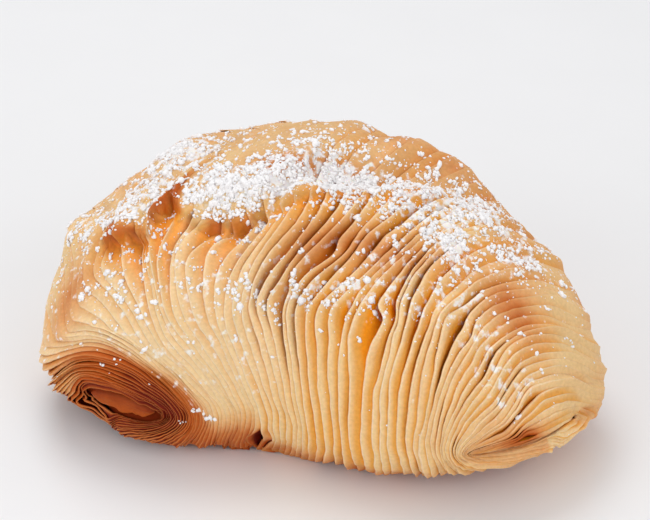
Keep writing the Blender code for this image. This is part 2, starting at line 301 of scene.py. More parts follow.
# Where leaves melt into one smooth sheet.
MELTED = ((0.80, ((1.95, 2.20), None), ((3.15, 3.50), (4.40, 4.90))),
          (0.70, ((0.74, 0.86), (1.25, 1.45)), ((3.36, 3.50), (3.75, 4.05))))
MELTED_CROWN = ((0.75, ((1.14, 1.24), (2.00, 2.30)), None),
                (0.25, ((1.34, 1.46), (2.00, 2.30)), None))
CROWN_LINE = (3.62, 0.55, 0.28)              # phi of the crown, spread behind and in front
CROWN_MOST = (0.80, 1.25)
CAPPED = (0.94, ((0.66, 0.72), (1.15, 1.40)), (None, (3.70, 4.00)))
CAPPED_EDGE = (-0.03, 0.02)
# Painted light on the left side, less painted shade on the coil's lit left side, where the painted
# highlight of a cut edge is dropped, and dust high up.
LEFT_PAINTED_LIGHT = (1.00, ((0.42, 0.62), (1.20, 1.70)), ((1.50, 2.20), (4.00, 4.60)))
LEFT_FIN = (0.60, ((0.08, 0.22), None), (3.60, 0.50))
TAIL_EDGE_LOST = (0.90, ((3.00, 3.08), None), ((1.40, 2.00), None))
UPPER_DUST = (0.32, ((0.60, 0.80), (2.80, 3.00)), (2.75, 0.40))
UPPER_DUST_MORE = (0.50, ((1.70, 1.90), None), None)
# Painted shade and glow on a leaf, 0 on its open face to 1 in a deep gap, and what adds to it.
CLOSED_RINGS = (None, (0.22, 0.68))          # painted shade in the coil's closed gaps
CLOSED_SIDES = (0.8, 0.7, (-0.034, -0.016))  # at its left, added at its right, between which x
SHADE_CLOSED = (0.25, 0.40, 0.7)     # at the edge, added inward, how late
SHADE_INWARD = (0.66, 1.3)           # of a face toward its inner end, how late
SHADE_NARROW = 0.0016                # narrower leaves get less of it
SHADE_DEPTH = 350.0                  # to a metre of depth
SHADE_UNDER = (0.55, 1.3, 0.15)      # underneath; at the cut edge against it, past which depth
SHADE_PALE = 0.45                    # lost on the left side, which is painted lighter
SHADE_POCKET = 800.0                 # to a metre of a pocket's added depth
SHADE_MELTED = 0.25                  # left where leaves melt together
# The lip's edge gets painted shade and brown toast; under the lip painted shade is added and the
# brown gives way to it.
SHADE_LIP = 0.45
SHADE_UNDER_LIP = 1.1
SHADE_MOST = 1.5
RIM_PALE, RIM_MELTED = 0.38, 0.15    # edge highlight colour painted over the left side's faces, and left where melted
TOAST_LIP, TOAST_UNDER_LIP = 0.45, 0.8
STREAKS = (1.8, 2.0, (2.60, 2.90))   # stronger tints where melted, and past which rings
TINT_LIMITS = (-1.0, 2.0)
# Dust against the sugar over it, white speckles painted on the left side as painted light, and
# dust lost at the lip and under it.
DUST, PAINTED_LIGHT_SPECKLE, DUST_LIP, DUST_UNDER_LIP = 0.8, 0.34, 0.7, 0.8
DUSTED_SLOPE = (0.10, 0.75)          # least upward share of a face, and where dust is full
DUST_COLOUR = (0.93, 0.91, 0.90)
# How far the core lies under the outline.
CORE_SUNK = 0.0047
CORE_DIPS = ((-0.0030, ((2.75, 3.00), None), None), (-0.0030, (None, (0.10, 0.30)), None),
             (0.0050, ((0.55, 0.70), (1.25, 1.50)), (3.20, 0.40)),
             (0.0030, (1.105, 0.12), (1.22, 0.25)))
CORE_RINGS, CORE_LINES, CORE_END, CORE_FLOOR = 90, 160, 0.04, 0.0012
CORE_CAPS_BROWN = (1.0, 0.3)

# ---------------------------------------------------------------- roll and sugar
# The innermost leaf's roll: half its length and how far up the mouth it lies, as seen from
# the middle; how deep, how thick, how hollow; which angles it covers, from below to above.
ROLL_LENGTH = 0.134
ROLL_RISE = 0.018
ROLL_SUNK = 0.0006
ROLL_RADIUS = 0.0023
ROLL_HOLLOW = 0.72
ROLL_ANGLES = (-62.0, 100.0)
ROLL_WAVES = (1, 2, 3, 5, 8, 13)
ROLL_WAVE_SIZES = (0.0004, 0.50)     # along the middle, and of its lip
ROLL_RIDGES = (0.10, 2.5)            # height against the radius, number
ROLL_STEPS, ROLL_TURNS = 48, 12
ROLL_SEED = 5
ROLL_TAPER = (4, 0.02)       # how suddenly its ends thin out, and what is left there, squared
ROLL_LIP = 3                 # how near to its lip the waves and the paler shade stay
ROLL_PAINTED_SHADE = (0.55, 0.50, 0.6)        # shade outside, less at the lip, and inside
ROLL_LOOKS = {"rim": 0.0, "toast": 0.95, "tint": 0.5, "dust": 0.0}
# Where the sugar lies on the plan: middle in x and y, spread in x and y, how thick.
SUGAR_PATCHES = (
    (-0.032, -0.014, 0.0080, 0.0080, 0.80),
    (-0.044, -0.012, 0.0045, 0.0065, 0.60),
    (-0.026, 0.000, 0.0090, 0.0080, 0.95),
    (-0.018, -0.012, 0.0070, 0.0050, 0.60),
    (-0.009, -0.013, 0.0075, 0.0055, 1.00),
    (0.004, -0.007, 0.0095, 0.0080, 1.00),
    (0.015, -0.006, 0.0095, 0.0085, 0.75),
    (0.026, -0.007, 0.0070, 0.0070, 0.62),
    (0.031, -0.015, 0.0035, 0.0035, 0.55),
    (0.034, 0.001, 0.0080, 0.0080, 0.60),
    (0.037, -0.006, 0.0110, 0.0100, 0.32),
    (0.043, -0.010, 0.0050, 0.0050, 0.34),
    (0.048, -0.006, 0.0040, 0.0060, 0.26),
    (0.053, -0.009, 0.0040, 0.0040, 0.14),
    (0.030, -0.018, 0.0100, 0.0060, 0.34),
    (0.005, -0.0295, 0.0220, 0.0026, 0.80),
    (-0.028, -0.026, 0.0100, 0.0050, 0.40),
    (0.000, 0.004, 0.0140, 0.0060, 0.12),
    (0.000, 0.020, 0.0300, 0.0120, 0.08),
)
SUGAR_EVERYWHERE = 0.05
SUGAR_THICKEST = 1.15
# Sugar stuck to the upright front of the coil: x, height, how many lumps; their spread.
SUGAR_ON_COIL = ((-0.0133, 0.0136, 14), (-0.0114, 0.0122, 12), (-0.0164, 0.0106, 5))
SUGAR_ON_COIL_SPREAD = (0.0006, 0.00025)
SUGAR_LOWEST = 0.004         # none stays below this height
STEEPEST = {"clumps": 0.40, "grains": 0.25, "lumps": 0.12}   # least upward share of a face
SLOPE_LUCK = (0.3, 1.3)
DROP_HEIGHT = 0.02           # over the top
THROWN_FROM = 0.01           # in front of the coil
TRIES = 60                   # drops tried for each one wanted
CLUMP_SPREAD = ((0.5, 1.7), 0.7, 0.8)    # random range, and how it grows with thick sugar
CLUMP_LUMPS = (1.2, 5.0)     # lumps to a clump, and how many more in thick sugar
CLUMP_SHAPE = (1.3, 0.7)     # length and width of a clump against its spread
CLUMP_STEP = 0.0016          # a lump this much higher or lower isn't part of the clump
# Uneven lumps: size, width, flatness, surface, how far they sink in and are pressed flat.
LUMP_SIZES, LUMP_WIDTHS, LUMP_FLAT, LUMP_ROUGH = 0.36, (0.65, 1.35), 0.72, 0.17
LUMP_PRESSED, LUMP_RAISED = 0.35, 0.25

# ---------------------------------------------------------------- stage
LAMP_TARGET = (0.0, 0.0, 0.02)
LAMPS = (  # name, spot, size, tint
    ("key_light", (-0.20, 0.30, 0.74), (0.50, 0.42), (0.985, 0.99, 1.0)),
    ("fill_light", (-0.50, -0.62, 0.36), (0.6, 0.5), (0.99, 0.99, 1.0)),
    ("side_light", (0.62, -0.42, 0.42), (0.6, 0.6), (0.99, 0.99, 1.0)),
)
CAMERA_TARGET = (0.00234, 0.00414, 0.02431)
FLOOR_HALF = 3.0


# ---------------------------------------------------------------- outline and its rings
def toward(azimuth, elevation):
    """Unit vector at an azimuth and an elevation in degrees."""
    azimuth = math.radians(azimuth)
    elevation = math.radians(elevation)
    level = math.cos(elevation)
    return np.array([level * math.cos(azimuth), level * math.sin(azimuth), math.sin(elevation)])


def unit(vectors):
    return vectors / np.maximum(np.linalg.norm(vectors, axis=-1, keepdims=True), 1e-12)


def ease(value, low, high):
    """0 below low, 1 above high, smooth between."""
    share = np.clip((value - low) / (high - low), 0.0, 1.0)
    return share * share * (3.0 - 2.0 * share)


def bell(value, centre, spread):
    return np.exp(-((value - centre) / spread) ** 2)


def uneven_bell(value, above, below):
    return np.exp(-(value / np.where(value > 0.0, above, below)) ** 2)


def at_least(least, share):
    """A share of 1 that never falls below the least."""
    return least + (1.0 - least) * share


def within(value, place):
    """How far a value lies in a place of the tables, 0 to 1."""
    if place is None:
        return 1.0
    start, end = place
    if isinstance(start, float):
        return bell(value, start, end)
    inside = 1.0 if start is None else ease(value, *start)
    return inside if end is None else inside * (1.0 - ease(value, *end))


def amount_of(row, theta, phi):
    """What a row of the tables gives at a spot of the outline."""
    amount, rings, way_round = row
    return amount * within(theta, rings) * within(phi, way_round)


def turned(phi, centre):
    """Signed way round from a centre to phi."""
    return np.mod(phi - centre + math.pi, TURN) - math.pi


def around(stations, azimuth):
    """Smooth closed curve through evenly spaced stations, read at an azimuth."""
    waves = np.fft.rfft(stations) / len(stations)
    total = np.full(azimuth.shape, waves[0].real)
    for order in range(1, len(waves)):
        weight = 1.0 if 2 * order == len(stations) else 2.0
        total = total + weight * (waves[order] * np.exp(1j * order * azimuth)).real
    return total


def plain_ring(theta, phi):
    """Direction of a point at phi on the ring theta, before the ends are closed."""
    coil = toward(*COIL_POLE)
    tail = toward(*TAIL_POLE)
    middle = unit(coil + tail)
    along = unit(tail - coil)
    across = np.cross(middle, along)
    press = float(coil @ middle)
    theta = theta[..., None]
    phi = phi[..., None]
    point = -np.cos(theta) * along + np.sin(theta) * (np.cos(phi) * middle + np.sin(phi) * across)
    depth = (point @ middle)[..., None]
    shrink = math.sqrt(1.0 - press * press)
    point = (shrink * (point - depth * middle) + (depth + press) * middle) / (1.0 + press * depth)
    return unit(point + ease(point[..., 2:3], *LEAN_HEIGHTS) * np.array(LEAN))


def mouth_axes(end):
    """The way an end faces, and the long and short way of its flat mouth."""
    faces = toward(*end["faces"])
    along = np.array(end["mouth_along"])
    along = unit(along - faces * (along @ faces))
    return faces, along, np.cross(faces, along)


def end_ring(theta, phi, end, outer_theta):
    """Direction on one of an end's own rings, which close down to its mouth."""
    faces, along, across = mouth_axes(end)
    outer = plain_ring(np.full(theta.shape, outer_theta), phi)
    turn = np.arctan2((outer - faces) @ across, (outer - faces) @ along)[..., None]
    long_half, short_half = end["mouth"]
    mouth = faces + long_half * np.cos(turn) * along + short_half * np.sin(turn) * across
    lower = (0.5 - 0.5 * np.sin(turn)) ** CROWDING_SHARPNESS
    crowding = end["crowding"] + end["lower_crowding"] * lower
    share = np.maximum(theta / end["reach"], 0.0)[..., None] ** crowding
    return unit(mouth + share * (outer - mouth))


def leaned(theta, phi):
    """Ring angle on the outline of a leaf's own ring angle, once the leaves lean over."""
    sharp = np.clip((theta - LEAN_BLEND[0]) / (LEAN_BLEND[1] - LEAN_BLEND[0]), 0.0, 1.0)
    start, end = (beside + sharp * (past - beside) for beside, past in zip(*LEAN_PHI))
    past = phi - start - KNEE_WAVE[0] * np.sin(KNEE_WAVE[1] * theta) * sharp
    past = 0.5 * (past + np.sqrt(past ** 2 + KNEE_ROUND ** 2)) * ease(phi, *KNEE_FRONT)
    share = np.clip(past / (end - start), 0.0, 1.0)
    share = (1.0 - sharp) * share * share * (3.0 - 2.0 * share) + sharp * share * (2.0 - share)
    moved = LEAN_OVER * within(theta, LEAN_RINGS) * share + amount_of(TURN_UP, theta, phi)
    moved = moved * (1.0 - ease(phi, *LEAN_BACK))
    return theta + moved + amount_of(TAIL_BEND, theta, phi)


def directions(theta, phi):
    """Directions of the points at phi on the rings theta."""
    theta, phi = np.broadcast_arrays(theta, phi)
    theta = leaned(theta, phi)
    coil_side = end_ring(theta, phi, COIL, COIL["reach"])
    tail_side = end_ring(math.pi - theta, phi, TAIL, math.pi - TAIL["reach"])
    result = np.where((theta < COIL["reach"])[..., None], coil_side, plain_ring(theta, phi))
    return np.where((theta > math.pi - TAIL["reach"])[..., None], tail_side, result)


def outline_radius(direction):
    azimuth = np.arctan2(direction[..., 1], direction[..., 0])
    plan = around(PLAN_RADII, azimuth)
    roundness = around(SIDE_ROUNDNESS, azimuth)
    height = np.where(direction[..., 2] < 0.0, DROP_BELOW, RISE_ABOVE)
    flat = np.hypot(direction[..., 0], direction[..., 1]) / plan
    upright = np.abs(direction[..., 2]) / height
    return (flat ** roundness + upright ** roundness) ** (-1.0 / roundness)


def valley(point):
    """1 in the furrow along the top, falling to 0 beside it and at its ends."""
    x, y, z = point[..., 0], point[..., 1], point[..., 2]
    line = VALLEY_START
    for rise, start, end in VALLEY_BENDS:
        line = line + rise * ease(x, start, end)
    beside = np.exp(-0.5 * ((y - line) / VALLEY_WIDTH) ** 2)
    return beside * within(x, VALLEY_ENDS) * ease(z, *VALLEY_HEIGHTS)


def coil_mouth(direction):
    """1 at the bottom of the coil's mouth, falling to 0 outside it."""
    faces, along, across = mouth_axes(COIL)
    long_half, short_half = COIL_MOUTH_SPREAD
    away = direction - faces
    inside = np.exp(-((away @ along) / long_half) ** 2 - ((away @ across) / short_half) ** 2)
    return inside * (direction @ faces > 0.0)


def skin(direction, lumps=()):
    """Points of the smooth outline in the given directions, flat underneath."""
    point = direction * outline_radius(direction)[..., None]
    point[..., 2] += WIDEST_LEVEL
    furrow = VALLEY_DEPTH
    if lumps:
        share, added, past = LEAF_VALLEY
        furrow = furrow * (share + added * ease(point[..., 0], *past))
    offset = -COIL_MOUTH_DEPTH * coil_mouth(direction) - furrow * valley(point)
    for centre, spread, height in SWELLINGS + lumps:
        square = ((point - np.array(centre)) ** 2).sum(-1)
        offset = offset + height * np.exp(-0.5 * square / spread ** 2)
    point = point + direction * offset[..., None]
    point[..., 2] = np.maximum(point[..., 2], 0.0)
    return point


def running_length(points):
    """Length along each row of points, from 0 at its start to 1 at its end."""
    steps = np.linalg.norm(np.diff(points, axis=1), axis=-1)
    length = np.concatenate([np.zeros((len(points), 1)), np.cumsum(steps, axis=1)], axis=1)
    return length / length[:, -1:]


def read_grid(grid, row, column):
    """Value of a table between its entries; the columns go all the way round."""
    row = np.clip(row, 0.0, len(grid) - 1.001)
    column = np.mod(column, grid.shape[1] - 1)
    r, c = row.astype(int), column.astype(int)
    fr, fc = row - r, column - c
    if grid.ndim == 3:
        fr, fc = fr[..., None], fc[..., None]
    return ((grid[r, c] * (1 - fc) + grid[r, c + 1] * fc) * (1 - fr)
            + (grid[r + 1, c] * (1 - fc) + grid[r + 1, c + 1] * fc) * fr)


class Form:
    """The smooth outline in the part's frame, with tables of its rings."""

    def __init__(self):
        self.phi = np.linspace(0.0, TURN, LINES)
        self.theta = np.linspace(0.0, math.pi, ANGLES)
        self.shares = np.linspace(0.0, 1.0, ANGLES)
        rings = directions(self.theta[:, None], self.phi[None])
        points = skin(rings)
        low, high = points.reshape(-1, 3).min(0), points.reshape(-1, 3).max(0)
        cad_middle = 0.5 * (np.array(CAD_BOX[0]) + np.array(CAD_BOX[1]))
        self.shift = np.array([*(cad_middle - 0.5 * (low + high))[:2], CAD_BOX[0][2]])
        self.normals = self.outward(skin(rings, LUMPS))
        self.places = self.place_table(points)

    def outward(self, points):
        """Outward directions over the rings, evened out."""
        padded = np.concatenate([points[:, -2:-1], points, points[:, 1:2]], axis=1)
        normals = np.cross((padded[:, 2:] - padded[:, :-2]) * 0.5, np.gradient(points, axis=0))
        centre = np.array([0.0, 0.0, WIDEST_LEVEL])
        away = ((points - centre) * normals).sum(-1, keepdims=True)
        normals = unit(normals * np.sign(away))
        for _ in range(SMOOTHINGS):
            ring = np.concatenate([normals[:, -2:-1], normals, normals[:, 1:2]], axis=1)
            normals = ring[:, :-2] + 2.0 * normals + ring[:, 2:]
            tall = np.concatenate([normals[:1], normals, normals[-1:]])
            normals = unit(tall[:-2] + 2.0 * normals + tall[2:])
        return normals

    def place_table(self, points):
        """Ring angle at every share of the way from coil to tail, line by line."""
        angles, crowding = zip(*LEAF_CROWDING)
        front = np.cumsum(np.interp(self.theta, angles, crowding))
        front = (front - front[0]) / (front[-1] - front[0])
        back = running_length(points.transpose(1, 0, 2))
        columns = [np.interp(self.shares, front * (1.0 - behind) + row * behind, self.theta)
                   for row, behind in zip(back, within(self.phi, BACK_PHI))]
        return np.array(columns).T

    def line_of(self, phi):
        return phi * (LINES - 1) / TURN

    def ring_angle(self, share, phi):
        return read_grid(self.places, share * (ANGLES - 1), self.line_of(phi))

    def share_of(self, theta, phi):
        """Share of the way from coil to tail of a spot on the outline."""
        column = int(round(self.line_of(phi))) % (LINES - 1)
        own = leaned(self.places[:, column], self.phi[column])
        return float(np.interp(theta, own, self.shares))

    def at(self, theta, phi):
        """Points of the outline and the outward direction there."""
        point = skin(directions(theta, phi), LUMPS) + self.shift
        normal = read_grid(self.normals, theta * (ANGLES - 1) / math.pi,
                           self.line_of(phi) + 0.0 * theta)
        return point, unit(normal)


class Waver:
    """Smooth uneven values along every leaf, partly shared by neighbours."""

    def __init__(self, rng, leaves, orders, drift):
        self.orders = np.array(orders, float)
        steps = rng.normal(0.0, drift, (leaves + 3, len(orders)))
        self.phases = np.cumsum(steps, axis=0) + rng.uniform(0.0, TURN, len(orders))
        self.weights = 1.0 / np.sqrt(self.orders)
        self.weights /= np.sqrt((self.weights ** 2).sum() / 2.0)

    def at(self, leaf, phi):
        waves = np.sin(self.orders * phi[:, None] + self.phases[leaf + 1])
        return waves @ self.weights


# ---------------------------------------------------------------- how a leaf is shaped
def toasted(theta, phi, height):
    """How brown the crust is, 0 to 1; the notch past the heel and the gap at the tail are browned
    as painted shade.
    """
    start, end = BROWNED_COIL
    coil = 1.0 - ease(theta, start, end + amount_of(BROWNED_COIL_BELOW, theta, phi))
    coil = coil * (1.0 - amount_of(PALER_COIL, theta, phi))
    amount, rings = RIDGE_DRIFT
    ridge = amount_of(BROWNED_RIDGE, theta, phi - amount * ease(theta, *rings))
    crown = sum(amount_of(row, theta, phi) for row in BROWNED_CROWN)
    foot = BROWNED_FOOT[0] * within(height, BROWNED_FOOT[1])
    clear = (1.0 - coil) * (1.0 - ridge) * (1.0 - crown) * (1.0 - foot)
    for row in BROWNED:
        clear = clear * (1.0 - amount_of(row, theta, phi))
    return 1.0 - clear


def smoothed_away(theta, phi):
    """How far the leaves melt into one smooth sheet, as they do on the crown."""
    line, behind, before = CROWN_LINE
    crown = sum(amount_of(row, theta, phi) for row in MELTED_CROWN)
    crown = crown * uneven_bell(phi - line, behind, before)
    sheets = [amount_of(row, theta, phi) for row in MELTED]
    sheets.append(CROWN_MOST[0] * np.minimum(CROWN_MOST[1] * crown, 1.0))
    return np.maximum.reduce(sheets)


def capped(theta, phi):
    """How far the leaves close up over their own lip, where they fold onto the top."""
    angles, lips = (np.array(column) for column in list(zip(*LIP))[:2])
    above = ease(phi - np.interp(theta, angles, lips), *CAPPED_EDGE)
    return above * amount_of(CAPPED, theta, phi)


def openness(theta, phi, height):
    """How deep the gaps between leaves are, against the usual depth."""
    total = at_least(OPENED_FOOT[0], ease(height, *OPENED_FOOT[1]))
    for group in OPENED:
        total = total * (1.0 + sum(amount_of(row, theta, phi) for row in group))
    return total


def under_lip(theta, phi, share):
    """A leaf's face under the lip: how far it draws back, how much painted shade it gets, and how
    far its lip edge gets brown toast and painted shade.
    """
    angles, lips, depths, reaches = (np.array(column) for column in zip(*LIP))
    arch = math.sin(math.pi * share)
    above = phi - np.interp(theta, angles, lips) + LIP_SCALLOP * (1.0 - arch)
    depth = np.interp(theta, angles, depths)
    over = ease(above, *LIP_EDGE)
    below = (1.0 - over) * np.exp(
        -(np.maximum(-above, 0.0) / np.interp(theta, angles, reaches)) ** LIP_FALL)
    least, narrow, near = LIP_SIDES
    below = below * (1.0 - least * (1.0 - arch ** narrow) * (1.0 - bell(above, 0.0, near)))
    rise = LIP_RISE[0] * over * bell(above, 0.0, LIP_RISE[1])
    marked = np.minimum(depth / LIP_MARKED, 1.0)
    return depth * (rise - below), below * marked, bell(above, *LIP_BROWN_AND_SHADE) * marked


def sugar_density(x, y):
    """How thick the sugar lies over a spot of the plan."""
    total = SUGAR_EVERYWHERE
    for centre_x, centre_y, spread_x, spread_y, amount in SUGAR_PATCHES:
        total = total + amount * np.exp(-((x - centre_x) / spread_x) ** 2
                                        - ((y - centre_y) / spread_y) ** 2)
    return np.minimum(total, SUGAR_THICKEST)


class Winding:
    """Where every leaf's free edge lies and how it stands, all the way round."""

    def __init__(self, form, settings):
        self.rng = rng = np.random.default_rng(settings.seed)
        self.count = count = settings.count
        self.phi = np.linspace(0.0, TURN, 2 * LINES - 1)
        self.pockets = [form.share_of(theta, phi) * count for theta, phi, *_ in POCKETS]
        leaves = np.arange(count + 1)[:, None]
        even = np.interp((leaves + 0.5) / count, *EVEN_ENDS)
        gaps = (WIDTH_WAVES[0] * self.waves("slow") + WIDTH_WAVES[1] * self.waves("quick")
                + WIDTH_WAVES[2] * rng.normal(0.0, 1.0, (count + 1, 1)))
        gaps = np.exp(settings.uneven * even * gaps)
        for leaf in rng.permutation(count)[:int(settings.ends * count)]:
            gaps[leaf] *= 1.0 - HIDDEN * self.hidden_stretch() * even[leaf]
        places = self.parted(self.bunched(gaps, leaves, settings.bunch))
        places[1:-1] += (SIDEWAYS * even * self.waves("sideways"))[1:-1]
        low, high = PLACE_MARGINS
        self.places = np.maximum.accumulate(np.clip(places, low, count - high), axis=0)

        lifts = settings.lift * self.waves("lift")
        knees = np.maximum(self.raised(*KNEES), 0.0)
        tips = self.raised(*TIPS) * even
        fringes = FRINGES[0] * self.waves("fringe") * self.near(*FRINGES[1])
        flares = self.raised(*FLARES) * (leaves < FLARES_END * count)
        self.lifts = lifts + knees + tips + fringes + flares
        self.clear = CLEAR * np.maximum(rng.normal(CLEAR_USUAL, 1.0, count + 1), 0.0)
        self.folds = self.mixed("fold", *FOLDS)
        self.openings = np.exp(OPENINGS * self.waves("opening"))
        self.tints = 0.5 + self.mixed("tint", *TINTS)
        self.bulges = Waver(rng, count + 1, *WAVES["bulge"])

    def waves(self, name):
        waver = Waver(self.rng, self.count + 1, *WAVES[name])
        return np.array([waver.at(leaf, self.phi) for leaf in range(self.count + 1)])

    def mixed(self, name, along, from_leaf_to_leaf):
        waves = along * self.waves(name)
        return waves + from_leaf_to_leaf * self.rng.normal(0.0, 1.0, (self.count + 1, 1))

    def near(self, phi, spread):
        return bell(turned(self.phi, phi), 0.0, spread)

    def raised(self, height, shares, where):
        """Random heights, one for each leaf, round one phi."""
        return height * self.rng.uniform(*shares, (self.count + 1, 1)) * self.near(*where)

    def hidden_stretch(self):
        """1 along a random stretch where a leaf runs hidden under the next one."""
        start, run = self.rng.uniform(0.0, TURN), self.rng.uniform(*HIDDEN_RUN)
        if self.rng.uniform() < HIDDEN_AT_SHOULDER:
            start = self.rng.normal(*HIDDEN_START)
        half = 0.5 * run
        before, after, end = HIDDEN_EASE
        way = turned(self.phi, start + half)
        return within(way, ((-half - before, -half + after), (half - end, half)))

    def bunched(self, gaps, leaves, reach):
        """Places of the free edges, some of them crowding together, in leaves."""
        drift = np.cumsum(gaps, axis=0) - 0.5 * gaps - leaves - 0.5
        near = np.exp(-0.5 * ((leaves - leaves.T) / reach) ** 2)
        near /= near.sum(1, keepdims=True)
        return leaves + 0.5 + drift - near @ drift

    def parted(self, places):
        """Pushes the free edges apart at the pockets."""
        sharp, reach = POCKET_PUSH
        for pocket, (_, at_phi, above, below, push, _) in zip(self.pockets, POCKETS):
            away = places - pocket
            places = places + push * np.tanh(away * sharp) * np.exp(-np.abs(away) / reach) * (
                uneven_bell(turned(self.phi, at_phi), above, below))
        return places

    def hollow(self, place, phi):
        """Depth that the pockets add to the gaps."""
        width, longer = POCKET_HOLLOW
        return sum(added * bell(place, pocket, width) * uneven_bell(
            turned(phi, at_phi), longer * above, longer * below)
            for pocket, (_, at_phi, above, below, _, added) in zip(self.pockets, POCKETS))

    def read(self, table, leaf, phi):
        return np.interp(phi, self.phi, table[leaf])


class Leaf:
    """One leaf: the line of its free edge, the gap beside it and the points across it."""

    def __init__(self, form, winding, settings, number):
        self.form, self.winding, self.number, self.dip = form, winding, number, settings.dip
        edge = form.ring_angle(winding.places[number] / winding.count, winding.phi)
        line, _ = form.at(edge, winding.phi)
        length = np.concatenate([[0.0], np.cumsum(np.linalg.norm(np.diff(line, axis=0), axis=1))])
        self.size = int(np.clip(length[-1] / LEAF_SPACING, *LEAF_POINTS))
        spots = np.arange(self.size) / self.size * length[-1]
        self.phi = phi = np.interp(spots, length, winding.phi)
        self.own = winding.read(winding.places, number, phi)
        self.gap = np.maximum(winding.read(winding.places, number + 1, phi) - self.own, LEAST_GAP)
        self.theta = self.ring(0.0)
        self.on_outline = leaned(self.theta, phi)
        self.here, self.facing = form.at(self.theta, phi)
        there, _ = form.at(self.ring(1.0), phi)
        self.width = np.maximum(np.linalg.norm(there - self.here, axis=1), LEAST_WIDTH)
        self.crisp = 1.0 - np.maximum(smoothed_away(self.on_outline, phi),
                                      capped(self.ring(0.5), phi))
        self.hollow = winding.hollow(self.own + 0.5 * self.gap, phi)
        depth = LEAST_DEPTH + settings.depth * np.minimum(self.width, DEEPENING_WIDTH)
        depth = depth * openness(self.on_outline, phi, self.here[:, 2])
        depth = depth * winding.read(winding.openings, number, phi) * self.crisp
        self.depth = np.clip(depth + self.hollow, *DEPTH_LIMITS)
        self.inset = settings.inset
        self.thickness = settings.thickness

    def ring(self, across):
        """Ring angle at a share of the way to the next leaf."""
        return self.form.ring_angle((self.own + across * self.gap) / self.winding.count, self.phi)

    def rows(self):
        """Rows of points, and how far the lip shades and browns each of them."""
        winding, phi, crisp, z = self.winding, self.phi, self.crisp, self.here[:, 2]
        standing = at_least(FLAT, ease(z, 0.0, FLAT_HEIGHT))
        inset = self.inset + UNDERCUT * (1.0 - ease(z, 0.0, UNDERCUT_HEIGHT))
        inset = inset * np.hypot(self.facing[:, 0], self.facing[:, 1])
        lift, next_lift = (
            standing * (crisp * winding.read(winding.lifts, k, phi)
                        + (1.0 - crisp) * winding.read(winding.folds, k, phi)) - inset
            for k in (self.number, self.number + 1))
        thick = np.minimum(self.thickness, THICKEST * self.width) * at_least(MELTED_THICK, crisp)
        thick = thick * at_least(THIN_FOOT[0], ease(z, 0.0, THIN_FOOT[1]))
        slant = np.minimum(CUT_SLANT[0], CUT_SLANT[1] * self.width) * at_least(MELTED_SLANT, crisp)
        crumbs, slide = (
            np.convolve(winding.rng.normal(0.0, 1.0, self.size + 2), CRUMB_BLUR, "valid") * crisp
            for _ in range(2))
        bulge = BULGE * self.width * winding.bulges.at(self.number, phi) * crisp
        rows, shaded, brown_and_shade = [], [], []
        for share, out, under, _ in ACROSS:
            inner = min(share, 1.0)
            shift = (CRUMB_SLIDE * slide * (share < CRUMB_SHARES[0]) - out * slant) / self.width
            angle = self.ring(np.clip(share + shift, *ACROSS_LIMITS))
            point, normal = self.form.at(angle, phi)
            drawn, shade, brown = under_lip(angle, phi, inner)
            uneven = bulge * math.sin(math.pi * inner) + drawn
            uneven = uneven + CRUMB_HEIGHT * crumbs * (share < CRUMB_SHARES[1])
            uneven = uneven - (TUCKED if share > 1.0 else 0.0)
            height = (lift * (1.0 - inner) + next_lift * inner + standing * uneven
                      - self.depth * share ** self.dip - under * thick)
            point = point + normal * height[:, None]
            foot = (winding.clear[self.number] * (1.0 - inner)
                    + winding.clear[self.number + 1] * inner)
            point[:, 2] += foot * (1.0 - ease(point[:, 2], 0.0, CLEAR_HEIGHT))
            over = np.maximum(point[:, 2] - (CAD_BOX[1][2] - TOP_ROOM), 0.0)
            point[:, 2] += TOP_ROOM * (1.0 - np.exp(-over / TOP_ROOM)) - over
            rows.append(point)
            shaded.append(shade)
            brown_and_shade.append(brown)
        return np.clip(rows, CAD_BOX[0], CAD_BOX[1]), np.array(shaded), np.array(brown_and_shade)

    def looks(self, rows, shaded, brown_and_shade):
        """Values that the crust's material reads at each point."""
        phi, on_outline, crisp = self.phi, self.on_outline, self.crisp
        share, _, under, cut = np.array(ACROSS).T[..., None]
        inner = np.minimum(share, 1.0)
        x, y = (rows[..., axis] - self.form.shift[axis] for axis in (0, 1))
        # The left side is painted lighter, as painted light.
        pale = amount_of(LEFT_PAINTED_LIGHT, on_outline, phi)

        # Painted shade and glow: darker toward the inner end, in deep gaps, underneath, in the
        # coil's closed gaps, in pockets and under the lip.
        amount, late = SHADE_INWARD
        deep = amount * share ** late * np.minimum(self.width / SHADE_NARROW, 1.0)
        deep = deep + SHADE_DEPTH * self.depth * share ** self.dip
        amount, more, least = SHADE_UNDER
        outside = more * np.maximum(under - least, 0.0)
        deep = deep + amount * under * np.where(share > CUT_EDGE, 1.0, outside)
        closed = (1.0 - amount_of(LEFT_FIN, on_outline, phi)) * within(on_outline, CLOSED_RINGS)
        left, right, between = CLOSED_SIDES
        closed = closed * (left + right * ease(self.here[:, 0] - self.form.shift[0], *between))
        edge, inward, late = SHADE_CLOSED
        deep = deep + (edge + inward * inner ** late) * closed
        deep = deep * (1.0 - SHADE_PALE * pale) + SHADE_POCKET * self.hollow * share
        deep = deep * at_least(SHADE_MELTED, crisp)
        deep = np.clip(deep + SHADE_LIP * brown_and_shade + SHADE_UNDER_LIP * shaded, 0.0, SHADE_MOST)

        # The rim: painted highlight along the cut edge, spread over the left side's faces as
        # painted light.
        rim = (cut + RIM_PALE * pale * (1.0 - cut) * (1.0 - shaded)) * at_least(RIM_MELTED, crisp)
        rim = rim * (1.0 - amount_of(TAIL_EDGE_LOST, self.theta, phi))

